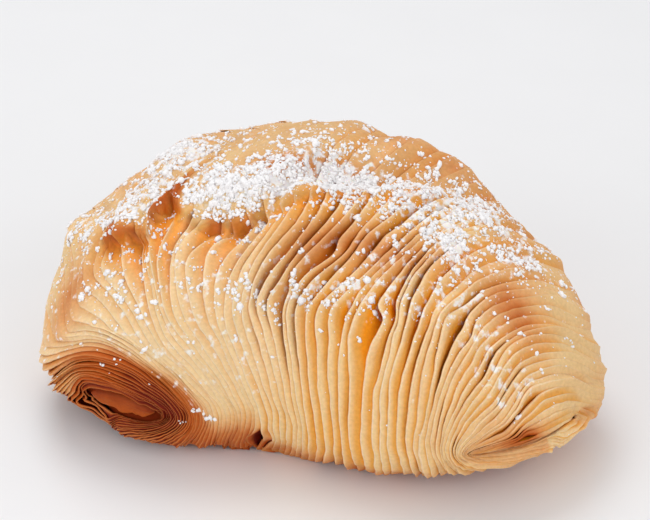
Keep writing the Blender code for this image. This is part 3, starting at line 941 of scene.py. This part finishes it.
        # Under the lip the brown gives way to the painted shade; the lip's edge is toasted.
        toast = toasted(on_outline, phi, rows[..., 2]) * (1.0 - TOAST_UNDER_LIP * shaded)
        toast = np.minimum(toast + TOAST_LIP * brown_and_shade, 1.0)

        melted, tail, rings = STREAKS
        streaks = 1.0 + melted * (1.0 - crisp) + tail * ease(on_outline, *rings)
        tint = self.winding.read(self.winding.tints, self.number, phi)
        tint = np.clip(0.5 + streaks * (tint - 0.5), *TINT_LIMITS)

        upper = amount_of(UPPER_DUST, on_outline, phi)
        upper = upper * (1.0 + amount_of(UPPER_DUST_MORE, on_outline, phi))
        # Sugar dust, and white speckles painted on the left side as painted light.
        dust = DUST * ease(self.facing[:, 2], *DUSTED_SLOPE) * sugar_density(x, y)
        dust = np.maximum(dust, np.maximum(upper, PAINTED_LIGHT_SPECKLE * pale))
        dust = dust * (1.0 - DUST_UNDER_LIP * shaded) * (1.0 - DUST_LIP * brown_and_shade)
        return {"deep": deep, "rim": rim, "toast": toast, "dust": dust,
                "tint": np.broadcast_to(tint, toast.shape)}


# ---------------------------------------------------------------- materials
def colour(red, green, blue):
    """Colour of a finish given as it looks on a screen, 0 to 255."""
    def linear(value):
        value /= 255.0
        return value / 12.92 if value <= 0.04045 else ((value + 0.055) / 1.055) ** 2.4
    return (linear(red), linear(green), linear(blue))


def solid(shade):
    return (*shade, 1.0)


class Nodes:
    """Short calls for a material's nodes."""

    def __init__(self, name):
        self.material = bpy.data.materials.new(name)
        self.material.use_nodes = True
        self.tree = self.material.node_tree
        self.shader = self.tree.nodes["Principled BSDF"]

    def add(self, kind, **settings):
        node = self.tree.nodes.new(kind)
        for key, value in settings.items():
            setattr(node, key, value)
        return node

    def feed(self, socket, value):
        if isinstance(value, bpy.types.NodeSocket):
            self.tree.links.new(value, socket)
        else:
            socket.default_value = value

    def kept(self, name):
        """A value kept at the points of the mesh."""
        return self.add("ShaderNodeAttribute", attribute_name=name).outputs["Fac"]

    def ramp(self, value, *stops):
        node = self.add("ShaderNodeValToRGB")
        node.color_ramp.interpolation = "EASE"
        elements = node.color_ramp.elements
        while len(elements) < len(stops):
            elements.new(0.5)
        for element, (position, shade) in zip(elements, stops):
            element.position = position
            element.color = solid(shade)
        self.feed(node.inputs["Fac"], value)
        return node.outputs["Color"]

    def mix(self, share, first, second, kind="MIX"):
        node = self.add("ShaderNodeMix", data_type="RGBA", blend_type=kind)
        self.feed(node.inputs[0], share)
        self.feed(node.inputs[6], first)
        self.feed(node.inputs[7], second)
        return node.outputs[2]

    def math(self, operation, first, second, clamp=False):
        node = self.add("ShaderNodeMath", operation=operation, use_clamp=clamp)
        self.feed(node.inputs[0], first)
        self.feed(node.inputs[1], second)
        return node.outputs[0]

    def plus(self, first, second, clamp=False):
        return self.math("ADD", first, second, clamp)

    def minus(self, first, second, clamp=False):
        return self.math("SUBTRACT", first, second, clamp)

    def times(self, first, second, clamp=False):
        return self.math("MULTIPLY", first, second, clamp)

    def noise(self, scale, detail):
        node = self.add("ShaderNodeTexNoise")
        node.inputs["Scale"].default_value = scale
        node.inputs["Detail"].default_value = detail
        self.feed(node.inputs["Vector"], self.add("ShaderNodeTexCoord").outputs["Object"])
        return node.outputs["Fac"]

    def bump(self, height, strength, distance):
        node = self.add("ShaderNodeBump")
        node.inputs["Strength"].default_value = strength
        node.inputs["Distance"].default_value = distance
        self.feed(node.inputs["Height"], height)
        self.feed(self.shader.inputs["Normal"], node.outputs["Normal"])

    def finish(self, base, sockets):
        """Joins the colour, sets the shader's own sockets and hands over the material."""
        self.feed(self.shader.inputs["Base Color"], base)
        for key, value in sockets.items():
            self.shader.inputs[key].default_value = value
        return self.material


def crust_material(colours):
    """Baked dough: pale to amber into the gaps as painted shade and glow, browned, a painted
    highlight along the cut edges, flour and sugar, and painted light on the left side.
    """
    n = Nodes("baked_crust")
    deep, rim, toast, tint, dust = map(n.kept, ("deep", "rim", "toast", "tint", "dust"))
    uneven = n.times(n.minus(n.noise(140.0, 3.0), 0.5), 0.30)
    grain = n.noise(1500.0, 2.0)
    shade = n.plus(n.plus(deep, uneven), n.times(n.minus(tint, 0.5), 0.30), clamp=True)
    # Pale to golden to amber into the gaps: painted shade and painted glow.
    base = n.ramp(shade, (0.0, colours.pale), (0.48, colours.golden), (1.0, colours.amber))
    brown = n.plus(toast, n.times(uneven, 1.2))
    brown = n.times(brown, n.times(toast, 4.0, clamp=True), clamp=True)
    # Browned crust gets darker with the painted shade.
    darker = n.times(brown, n.plus(n.times(deep, 0.60), 0.58), clamp=True)
    brown_and_shade = n.ramp(darker, (0.15, colours.toasted), (0.62, colours.brown), (1.0, colours.burnt))
    base = n.mix(n.times(brown, 1.6, clamp=True), base, brown_and_shade)
    # Painted highlight along the cut edges, fading where the crust is brown; brown leaves get
    # toasted edges instead.
    light_edge = n.times(rim, n.minus(0.62, toast, clamp=True), clamp=True)
    base = n.mix(n.times(light_edge, 1.6, clamp=True), base, solid(colours.edge_highlight))
    base = n.mix(n.times(rim, n.times(brown, 0.42)), base, solid(colours.toasted))
    grained = n.ramp(grain, (0.25, (0.82, 0.80, 0.78)), (0.75, (1.0, 1.0, 1.0)))
    base = n.mix(0.6, base, grained, "MULTIPLY")
    # White speckles: sugar dust, and painted light on the left side.
    speckle = n.plus(n.noise(620.0, 6.0), n.times(dust, 0.42))
    dusted = n.ramp(speckle, (0.70, (0.0, 0.0, 0.0)), (0.88, (1.0, 1.0, 1.0)))
    base = n.mix(n.times(dusted, 0.85), base, solid(DUST_COLOUR))
    n.bump(n.noise(2600.0, 3.0), 0.25, 0.00012)
    return n.finish(base, {
        "Roughness": 0.58, "Specular IOR Level": 0.14, "Subsurface Weight": 0.22,
        "Subsurface Radius": (1.0, 0.50, 0.20), "Subsurface Scale": 0.0012})


def core_material(colours):
    """The dough at the bottom of open gaps: amber to brown, the coil's own brown and painted shade
    in the gaps.
    """
    n = Nodes("inner_crust")
    base = n.ramp(n.noise(300.0, 3.0), (0.3, colours.amber), (0.75, colours.brown))
    dark = n.mix(0.85, solid(colours.brown), solid(colours.burnt))
    base = n.mix(n.kept("toast"), base, dark)
    n.bump(n.noise(1800.0, 3.0), 0.3, 0.0002)
    return n.finish(base, {"Roughness": 0.8, "Specular IOR Level": 0.08})


def sugar_material():
    n = Nodes("icing_sugar")
    grain = n.noise(5200.0, 2.0)
    base = n.ramp(grain, (0.3, (0.86, 0.84, 0.84)), (0.7, (0.96, 0.95, 0.95)))
    n.bump(grain, 0.5, 0.00008)
    return n.finish(base, {"Roughness": 0.7, "Specular IOR Level": 0.3})


def floor_material(shade):
    n = Nodes("pale_floor")
    base = n.ramp(n.noise(30.0, 2.0), (0.3, [0.99 * value for value in shade]), (0.7, shade))
    return n.finish(base, {"Roughness": 0.30})


# ---------------------------------------------------------------- settings
def number_setting(name, text, value, low=0.0, high=1.0, **more):
    return bpy.props.FloatProperty(name=name, description=text, default=value, min=low, max=high,
                                   **more)


def length_setting(name, text, value, low=0.0, high=0.05):
    return number_setting(name, text, value, low, high, precision=5, subtype="DISTANCE",
                          unit="LENGTH")


def angle_setting(name, text, degrees):
    return number_setting(name, text, math.radians(degrees), -math.pi, math.pi,
                          subtype="ANGLE", unit="ROTATION")


def power_setting(name, text, value):
    return number_setting(name, text, value, 0.0, 100.0, unit="POWER")


def whole_setting(name, text, value, low=0, high=9000):
    return bpy.props.IntProperty(name=name, description=text, default=value, min=low, max=high)


def colour_setting(name, text, value):
    return bpy.props.FloatVectorProperty(name=name, description=text, default=value, min=0.0,
                                         max=1.0, size=3, subtype="COLOR")


class LeafSettings(bpy.types.PropertyGroup):
    """Sizes of the leaves"""
    count: whole_setting("Leaves", "Number of leaves", 77, 20, 90)
    seed: whole_setting("Seed", "Picks another uneven winding", 7)
    thickness: length_setting("Thickness", "Thickness of one leaf", 0.00042, 0.0001, 0.002)
    inset: length_setting("Inset", "How far the leaves stay inside the outline", 0.00060)
    lift: length_setting("Lift", "How unevenly the free edges stand out", 0.00022)
    depth: number_setting("Depth", "Depth of a gap in leaf widths", 0.33, 0.0, 2.0)
    dip: number_setting("Dip", "How late a face dips under the next", 1.5, 1.0, 4.0)
    uneven: number_setting("Unevenness", "Uneven width of the leaves", 0.50)
    bunch: number_setting("Bunches", "Number of leaves that crowd together", 1.6, 0.5, 10.0)
    ends: number_setting("Hidden stretches",
                         "Share of the leaves that run hidden under the next one for a while",
                         0.45)


class CrustColours(bpy.types.PropertyGroup):
    """Colours of the crust"""
    # The edge highlight is a painted highlight, golden and amber are painted shade and glow into
    # the gaps, and burnt is the coil's own colour and painted shade in the darkest gaps.
    edge_highlight: colour_setting("Cut edge", "Free edges of the leaves", colour(246, 215, 176))
    pale: colour_setting("Pale", "Faces that took little heat", colour(242, 203, 148))
    golden: colour_setting("Golden", "Faces as they dip inward", colour(234, 165, 76))
    amber: colour_setting("Amber", "Deep between two leaves", colour(254, 154, 18))
    toasted: colour_setting("Toasted", "Lightly browned faces", colour(224, 152, 90))
    brown: colour_setting("Brown", "Well browned faces", colour(188, 88, 24))
    burnt: colour_setting("Burnt", "Darkest gaps and the coil", colour(110, 22, 3))


class SugarSettings(bpy.types.PropertyGroup):
    """The sugar on top"""
    clumps: whole_setting("Clumps", "Clumps of sugar that fall", 1150, 0, 2400)
    grains: whole_setting("Grains", "Single grains that fall", 3000)
    clump_size: length_setting("Clump size", "Half the width of one lump of a clump", 0.00031)
    grain_size: length_setting("Grain size", "Half the width of a grain", 0.00014)
    seed: whole_setting("Seed", "Picks another scatter", 4)


class StageSettings(bpy.types.PropertyGroup):
    """Camera, lights and floor"""
    azimuth: angle_setting("Azimuth", "Camera's way round", 12.0)
    elevation: angle_setting("Elevation", "Camera above the floor", 31.0)
    distance: length_setting("Distance", "From camera to target", 0.3366, 0.1, 2.0)
    lens: number_setting("Lens", "Focal length in millimetres", 90.0, 20.0, 200.0)
    floor: colour_setting("Floor", "Colour of the floor", (0.83, 0.83, 0.835))
    sky: colour_setting("Sky", "Colour of the light all round", (0.93, 0.93, 0.94))
    key_power: power_setting("Key light", "Power of the main light", 2.15)
    fill_power: power_setting("Fill light", "Power of the fill light", 1.95)
    side_power: power_setting("Side light", "Power of the side light", 1.90)
    sky_power: number_setting("Sky light", "Strength of the light all round", 0.69, 0.0, 10.0)


# ---------------------------------------------------------------- pieces
FORM = Form()


def keep_values(mesh, values):
    """Keeps values at the points of a mesh for its material to read."""
    for key, array in values.items():
        layer = mesh.attributes.new(key, "FLOAT", "POINT")
        layer.data.foreach_set("value", np.ascontiguousarray(array, np.float32).ravel())


def mesh_of(name, points, faces):
    """A smooth mesh from arrays of points and of faces that all have as many corners."""
    mesh = bpy.data.meshes.new(name)
    mesh.vertices.add(len(points))
    mesh.vertices.foreach_set("co", np.ascontiguousarray(points, np.float32).ravel())
    mesh.loops.add(faces.size)
    mesh.loops.foreach_set("vertex_index", faces.astype(np.int32).ravel())
    mesh.polygons.add(len(faces))
    starts = np.arange(0, faces.size, faces.shape[1], dtype=np.int32)
    mesh.polygons.foreach_set("loop_start", starts)
    mesh.polygons.foreach_set("use_smooth", np.full(len(faces), True))
    mesh.update(calc_edges=True)
    mesh.validate()
    return mesh


def grid_faces(rows, columns, start=0, close_rows=True):
    """Four-sided faces over rows of points that close on themselves."""
    row = np.arange(rows if close_rows else rows - 1)[:, None]
    column = np.arange(columns)[None]
    below = (row + 1) % rows
    right = (column + 1) % columns
    quads = np.stack([row * columns + column, row * columns + right,
                      below * columns + right, below * columns + column], axis=-1)
    return quads.reshape(-1, 4) + start


def closed_tube(name, rings, values):
    """A smooth closed mesh over rings of points, with a cap at each end."""
    count, size = rings.shape[:2]
    points = np.concatenate([rings.reshape(-1, 3), [rings[0].mean(0), rings[-1].mean(0)]])
    builder = bmesh.new()
    verts = [builder.verts.new(point) for point in points]
    for quad in grid_faces(count, size, close_rows=False):
        builder.faces.new([verts[k] for k in quad])
    last = (count - 1) * size
    for here in range(size):
        there = (here + 1) % size
        builder.faces.new((verts[there], verts[here], verts[-2]))
        builder.faces.new((verts[last + here], verts[last + there], verts[-1]))
    bmesh.ops.recalc_face_normals(builder, faces=builder.faces)
    mesh = bpy.data.meshes.new(name)
    builder.to_mesh(mesh)
    builder.free()
    mesh.polygons.foreach_set("use_smooth", np.full(len(mesh.polygons), True))
    keep_values(mesh, values)
    return mesh


def place_piece(mesh, material, node="pastry"):
    """Puts a finished mesh in the scene as one of the part's pieces."""
    piece = bpy.data.objects.new(mesh.name, mesh)
    bpy.context.scene.collection.objects.link(piece)
    mesh.materials.append(material)
    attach(piece, "root")
    if node:
        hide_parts(node)
    return piece


class SFOGLIATELLA_OT_core(bpy.types.Operator):
    """Makes the closed body under the leaves, around the filling"""
    bl_idname = "sfogliatella.core"
    bl_label = "Core"

    def execute(self, context):
        colours = context.scene.sfogliatella_colours
        theta = np.linspace(CORE_END, math.pi - CORE_END, CORE_RINGS)[:, None]
        phi = (np.arange(CORE_LINES) / CORE_LINES * TURN)[None]
        theta, phi = np.broadcast_arrays(theta, phi)
        point, normal = FORM.at(theta, phi)
        sunk = CORE_SUNK + sum(amount_of(row, theta, phi) for row in CORE_DIPS)
        point = point - normal * sunk[..., None]
        point[..., 2] = np.maximum(point[..., 2], CORE_FLOOR)
        toast = np.append(toasted(theta, phi, point[..., 2]), CORE_CAPS_BROWN)
        mesh = closed_tube("core", point, {"toast": toast})
        place_piece(mesh, core_material(colours))
        return {"FINISHED"}


class SFOGLIATELLA_OT_leaves(bpy.types.Operator):
    """Makes the thin leaves, in four groups from the coil to the tail"""
    bl_idname = "sfogliatella.leaves"
    bl_label = "Leaves"

    def execute(self, context):
        settings = context.scene.sfogliatella_leaves
        winding = Winding(FORM, settings)
        material = crust_material(context.scene.sfogliatella_colours)
        for name, start, end in GROUPS:
            points, faces, values, total = [], [], {}, 0
            for number in range(round(start * settings.count), round(end * settings.count)):
                leaf = Leaf(FORM, winding, settings, number)
                rows, shaded, brown_and_shade = leaf.rows()
                points.append(rows.reshape(-1, 3))
                faces.append(grid_faces(*rows.shape[:2], total)[:, ::-1])
                total += len(points[-1])
                for key, value in leaf.looks(rows, shaded, brown_and_shade).items():
                    values.setdefault(key, []).append(value.ravel())
            faces = np.concatenate(faces)
            if 2 * len(faces) >= MOST_TRIANGLES:
                raise RuntimeError(f"{name} has {2 * len(faces)} triangles")
            mesh = mesh_of(name, np.concatenate(points), faces)
            keep_values(mesh, {key: np.concatenate(parts) for key, parts in values.items()})
            place_piece(mesh, material)
        return {"FINISHED"}


class SFOGLIATELLA_OT_roll(bpy.types.Operator):
    """Makes the innermost leaf, rolled up inside the coil's mouth"""
    bl_idname = "sfogliatella.roll"
    bl_label = "Inner roll"

    def execute(self, context):
        colours = context.scene.sfogliatella_colours
        faces, along, across = mouth_axes(COIL)
        way = np.linspace(-1.0, 1.0, ROLL_STEPS)
        rng = np.random.default_rng(ROLL_SEED)
        wave = sum(rng.normal(0.0, 1.0) * np.sin(order * 3.0 * way + rng.uniform(0.0, 6.0)) / order
                   for order in ROLL_WAVES)
        spots = unit(faces + (ROLL_LENGTH * way)[:, None] * along + ROLL_RISE * across)
        middle = skin(spots, LUMPS) + FORM.shift
        middle = middle - spots * (ROLL_SUNK + ROLL_WAVE_SIZES[0] * wave)[:, None]
        sudden, left = ROLL_TAPER
        taper = np.sqrt(np.maximum(1.0 - way ** sudden, left))
        angles = np.radians(np.linspace(*ROLL_ANGLES, ROLL_TURNS))
        lip = np.linspace(1.0, 0.0, ROLL_TURNS) ** ROLL_LIP
        height, number = ROLL_RIDGES
        ridges = height * np.sin(TURN * np.linspace(0.0, number, ROLL_TURNS))
        outer = [(angle, ROLL_RADIUS * taper * (1.0 + ROLL_WAVE_SIZES[1] * wave * low + ridge))
                 for angle, low, ridge in zip(angles, lip, ridges)]
        inner = [(angle, radius * ROLL_HOLLOW) for angle, radius in outer[::-1]]
        rows = [middle + radius[:, None] * (math.cos(angle) * spots + math.sin(angle) * across)
                for angle, radius in outer + inner]
        # Painted shade on the roll: darker up where it tucks under the leaves, lighter at its lip,
        # darker inside.
        deep = np.tile(np.append(ROLL_PAINTED_SHADE[0] - ROLL_PAINTED_SHADE[1] * lip,
                                 np.full(ROLL_TURNS, ROLL_PAINTED_SHADE[2])), ROLL_STEPS)
        deep = np.append(deep, (0.5, 0.5))
        values = {"deep": deep, **{key: np.full(len(deep), value)
                                   for key, value in ROLL_LOOKS.items()}}
        mesh = closed_tube("inner_roll", np.array(rows).transpose(1, 0, 2), values)
        place_piece(mesh, crust_material(colours))
        return {"FINISHED"}


class SFOGLIATELLA_OT_sugar(bpy.types.Operator):
    """Drops sugar on the leaves from above, clumps and single grains"""
    bl_idname = "sfogliatella.sugar"
    bl_label = "Sugar"

    def execute(self, context):
        sugar = context.scene.sfogliatella_sugar
        rng = np.random.default_rng(sugar.seed)
        self.tree = self.leaf_tree()
        clumps = self.clusters(rng, sugar)
        grains = self.fall(rng, sugar.grains, STEEPEST["grains"])
        material = sugar_material()
        for name, spots, size in (("sugar_clumps", clumps, sugar.clump_size),
                                  ("sugar_grains", grains, sugar.grain_size)):
            place_piece(self.lumps(name, rng, spots, size), material, None)
        return {"FINISHED"}

    def leaf_tree(self):
        """All the leaves' faces, to drop sugar on."""
        points, faces, start = [], [], 0
        for name, _, _ in GROUPS:
            mesh = bpy.data.objects[name].data
            spots = np.empty(len(mesh.vertices) * 3, np.float32)
            mesh.vertices.foreach_get("co", spots)
            quads = np.empty(len(mesh.loops), np.int32)
            mesh.loops.foreach_get("vertex_index", quads)
            points.append(spots.reshape(-1, 3))
            faces.append(quads.reshape(-1, 4) + start)
            start += len(mesh.vertices)
        points, faces = np.concatenate(points), np.concatenate(faces)
        return BVHTree.FromPolygons(points.tolist(), faces.tolist())

    def land(self, x, y):
        start = Vector((x, y, CAD_BOX[1][2] + DROP_HEIGHT))
        hit, normal, _, _ = self.tree.ray_cast(start, Vector((0.0, 0.0, -1.0)))
        return (hit, normal) if hit is not None and hit.z > SUGAR_LOWEST else None

    def fall(self, rng, number, steepest):
        """Spots where single grains come to rest."""
        spots = []
        low, high = CAD_BOX
        for _ in range(TRIES * number):
            x = rng.uniform(low[0], high[0])
            y = rng.uniform(low[1], high[1])
            if rng.uniform() > sugar_density(x - FORM.shift[0], y - FORM.shift[1]):
                continue
            spot = self.land(x, y)
            if spot and spot[1].z > steepest * rng.uniform(*SLOPE_LUCK):
                spots.append(spot)
            if len(spots) >= number:
                break
        return spots

    def clusters(self, rng, sugar):
        """Spots of lumps that lie together in clumps."""
        spots = []
        for x, height, number in SUGAR_ON_COIL:
            for along, up in rng.normal(0.0, 1.0, (number, 2)) * SUGAR_ON_COIL_SPREAD:
                start = Vector((FORM.shift[0] + x + along, CAD_BOX[0][1] - THROWN_FROM,
                                height + up))
                hit, normal, _, _ = self.tree.ray_cast(start, Vector((0.0, 1.0, 0.0)))
                if hit is not None:
                    spots.append((hit, normal))
        luck, least, more = CLUMP_SPREAD
        for hit, _ in self.fall(rng, sugar.clumps, STEEPEST["clumps"]):
            thick = float(sugar_density(hit.x - FORM.shift[0], hit.y - FORM.shift[1]))
            spread = rng.uniform(*luck) * (least + more * thick)
            turn = rng.uniform(0.0, math.pi)
            lumps = (CLUMP_LUMPS[0] + CLUMP_LUMPS[1] * thick) * spread
            for _ in range(1 + rng.poisson(lumps)):
                along, across = rng.normal(0.0, spread, 2) * sugar.clump_size * CLUMP_SHAPE
                spot = self.land(hit.x + along * math.cos(turn) - across * math.sin(turn),
                                 hit.y + along * math.sin(turn) + across * math.cos(turn))
                if (spot and spot[1].z > STEEPEST["lumps"]
                        and abs(spot[0].z - hit.z) < CLUMP_STEP):
                    spots.append(spot)
        return spots

    def lumps(self, name, rng, spots, size):
        """One mesh of uneven lumps, pressed against the faces that they lie on."""
        ball = bmesh.new()
        bmesh.ops.create_icosphere(ball, subdivisions=1, radius=1.0)
        shape = np.array([vert.co[:] for vert in ball.verts])
        corners = np.array([[vert.index for vert in face.verts] for face in ball.faces])
        ball.free()
        number = len(spots)
        if number * len(corners) >= MOST_TRIANGLES:
            raise RuntimeError(f"{name} has {number * len(corners)} triangles")
        hits, normals = (np.array([spot[k][:] for spot in spots]) for k in (0, 1))
        radius = size * np.exp(rng.normal(0.0, LUMP_SIZES, number))
        stretch = rng.uniform(*LUMP_WIDTHS, (number, 3)) * (1.0, 1.0, LUMP_FLAT)
        turn = np.linalg.qr(rng.normal(0.0, 1.0, (number, 3, 3)))[0]
        rough = 1.0 + rng.normal(0.0, LUMP_ROUGH, (number, len(shape), 1))
        body = shape[None] * rough * stretch[:, None] * radius[:, None, None]
        body = np.einsum("nij,nkj->nki", turn, body)
        up = (body * normals[:, None]).sum(-1, keepdims=True)
        body = body - LUMP_PRESSED * up * normals[:, None]
        centre = hits + normals * (radius * LUMP_RAISED)[:, None]
        points = np.clip((centre[:, None] + body).reshape(-1, 3), CAD_BOX[0], CAD_BOX[1])
        starts = (np.arange(number) * len(shape))[:, None, None]
        return mesh_of(name, points, (corners[None] + starts).reshape(-1, 3))


class SFOGLIATELLA_OT_stage(bpy.types.Operator):
    """Sets up the floor, the soft lights and the camera"""
    bl_idname = "sfogliatella.stage"
    bl_label = "Stage"

    def execute(self, context):
        scene = context.scene
        stage = scene.sfogliatella_stage
        self.floor(scene, stage)
        world = bpy.data.worlds.new("soft_light")
        world.use_nodes = True
        background = world.node_tree.nodes["Background"]
        background.inputs["Color"].default_value = solid(stage.sky)
        background.inputs["Strength"].default_value = stage.sky_power
        scene.world = world
        powers = (stage.key_power, stage.fill_power, stage.side_power)
        for (name, spot, size, tint), power in zip(LAMPS, powers):
            self.lamp(scene, name, spot, size, tint, power)
        self.camera(scene, stage)
        scene.view_settings.view_transform = "Standard"
        return {"FINISHED"}

    def floor(self, scene, stage):
        builder = bmesh.new()
        bmesh.ops.create_grid(builder, x_segments=2, y_segments=2, size=FLOOR_HALF)
        mesh = bpy.data.meshes.new("floor")
        builder.to_mesh(mesh)
        builder.free()
        floor = bpy.data.objects.new("floor", mesh)
        mesh.materials.append(floor_material(stage.floor))
        scene.collection.objects.link(floor)

    def lamp(self, scene, name, spot, size, tint, power):
        data = bpy.data.lights.new(name, "AREA")
        data.shape = "RECTANGLE"
        data.size, data.size_y = size
        data.energy = power
        data.color = tint
        light = bpy.data.objects.new(name, data)
        light.location = spot
        way = Vector(LAMP_TARGET) - Vector(spot)
        light.rotation_euler = way.to_track_quat("-Z", "Y").to_euler()
        scene.collection.objects.link(light)

    def camera(self, scene, stage):
        data = bpy.data.cameras.new("camera")
        data.lens = stage.lens
        data.sensor_width = 36.0
        camera = bpy.data.objects.new("camera", data)
        level = math.cos(stage.elevation)
        back = Vector((math.sin(stage.azimuth) * level, -math.cos(stage.azimuth) * level,
                       math.sin(stage.elevation)))
        camera.location = Vector(CAMERA_TARGET) + Vector(FORM.shift) + back * stage.distance
        camera.rotation_euler = (-back).to_track_quat("-Z", "Y").to_euler()
        scene.collection.objects.link(camera)
        scene.camera = camera


class SFOGLIATELLA_PT_panel(bpy.types.Panel):
    """Lists the pieces of the pastry"""
    bl_idname = "SFOGLIATELLA_PT_panel"
    bl_label = "Sfogliatella"
    bl_space_type = "VIEW_3D"
    bl_region_type = "UI"
    bl_category = "Pastry"

    def draw(self, context):
        for name in GROUP_CLASSES:
            group = getattr(context.scene, name)
            box = self.layout.box()
            for key in group.__annotations__:
                box.prop(group, key)
        for operator in OPERATORS:
            self.layout.operator(operator.bl_idname)


GROUP_CLASSES = {"sfogliatella_leaves": LeafSettings, "sfogliatella_colours": CrustColours,
                 "sfogliatella_sugar": SugarSettings, "sfogliatella_stage": StageSettings}
OPERATORS = (SFOGLIATELLA_OT_core, SFOGLIATELLA_OT_leaves, SFOGLIATELLA_OT_roll,
             SFOGLIATELLA_OT_sugar, SFOGLIATELLA_OT_stage)


def register():
    for name, group in GROUP_CLASSES.items():
        bpy.utils.register_class(group)
        setattr(bpy.types.Scene, name, bpy.props.PointerProperty(type=group))
    for operator in OPERATORS:
        bpy.utils.register_class(operator)
    bpy.utils.register_class(SFOGLIATELLA_PT_panel)


def unregister():
    bpy.utils.unregister_class(SFOGLIATELLA_PT_panel)
    for operator in reversed(OPERATORS):
        bpy.utils.unregister_class(operator)
    for name, group in GROUP_CLASSES.items():
        delattr(bpy.types.Scene, name)
        bpy.utils.unregister_class(group)


def main():
    register()
    bpy.ops.sfogliatella.core()
    bpy.ops.sfogliatella.leaves()
    bpy.ops.sfogliatella.roll()
    bpy.ops.sfogliatella.sugar()
    bpy.ops.sfogliatella.stage()


if __name__ == "__main__":
    main()
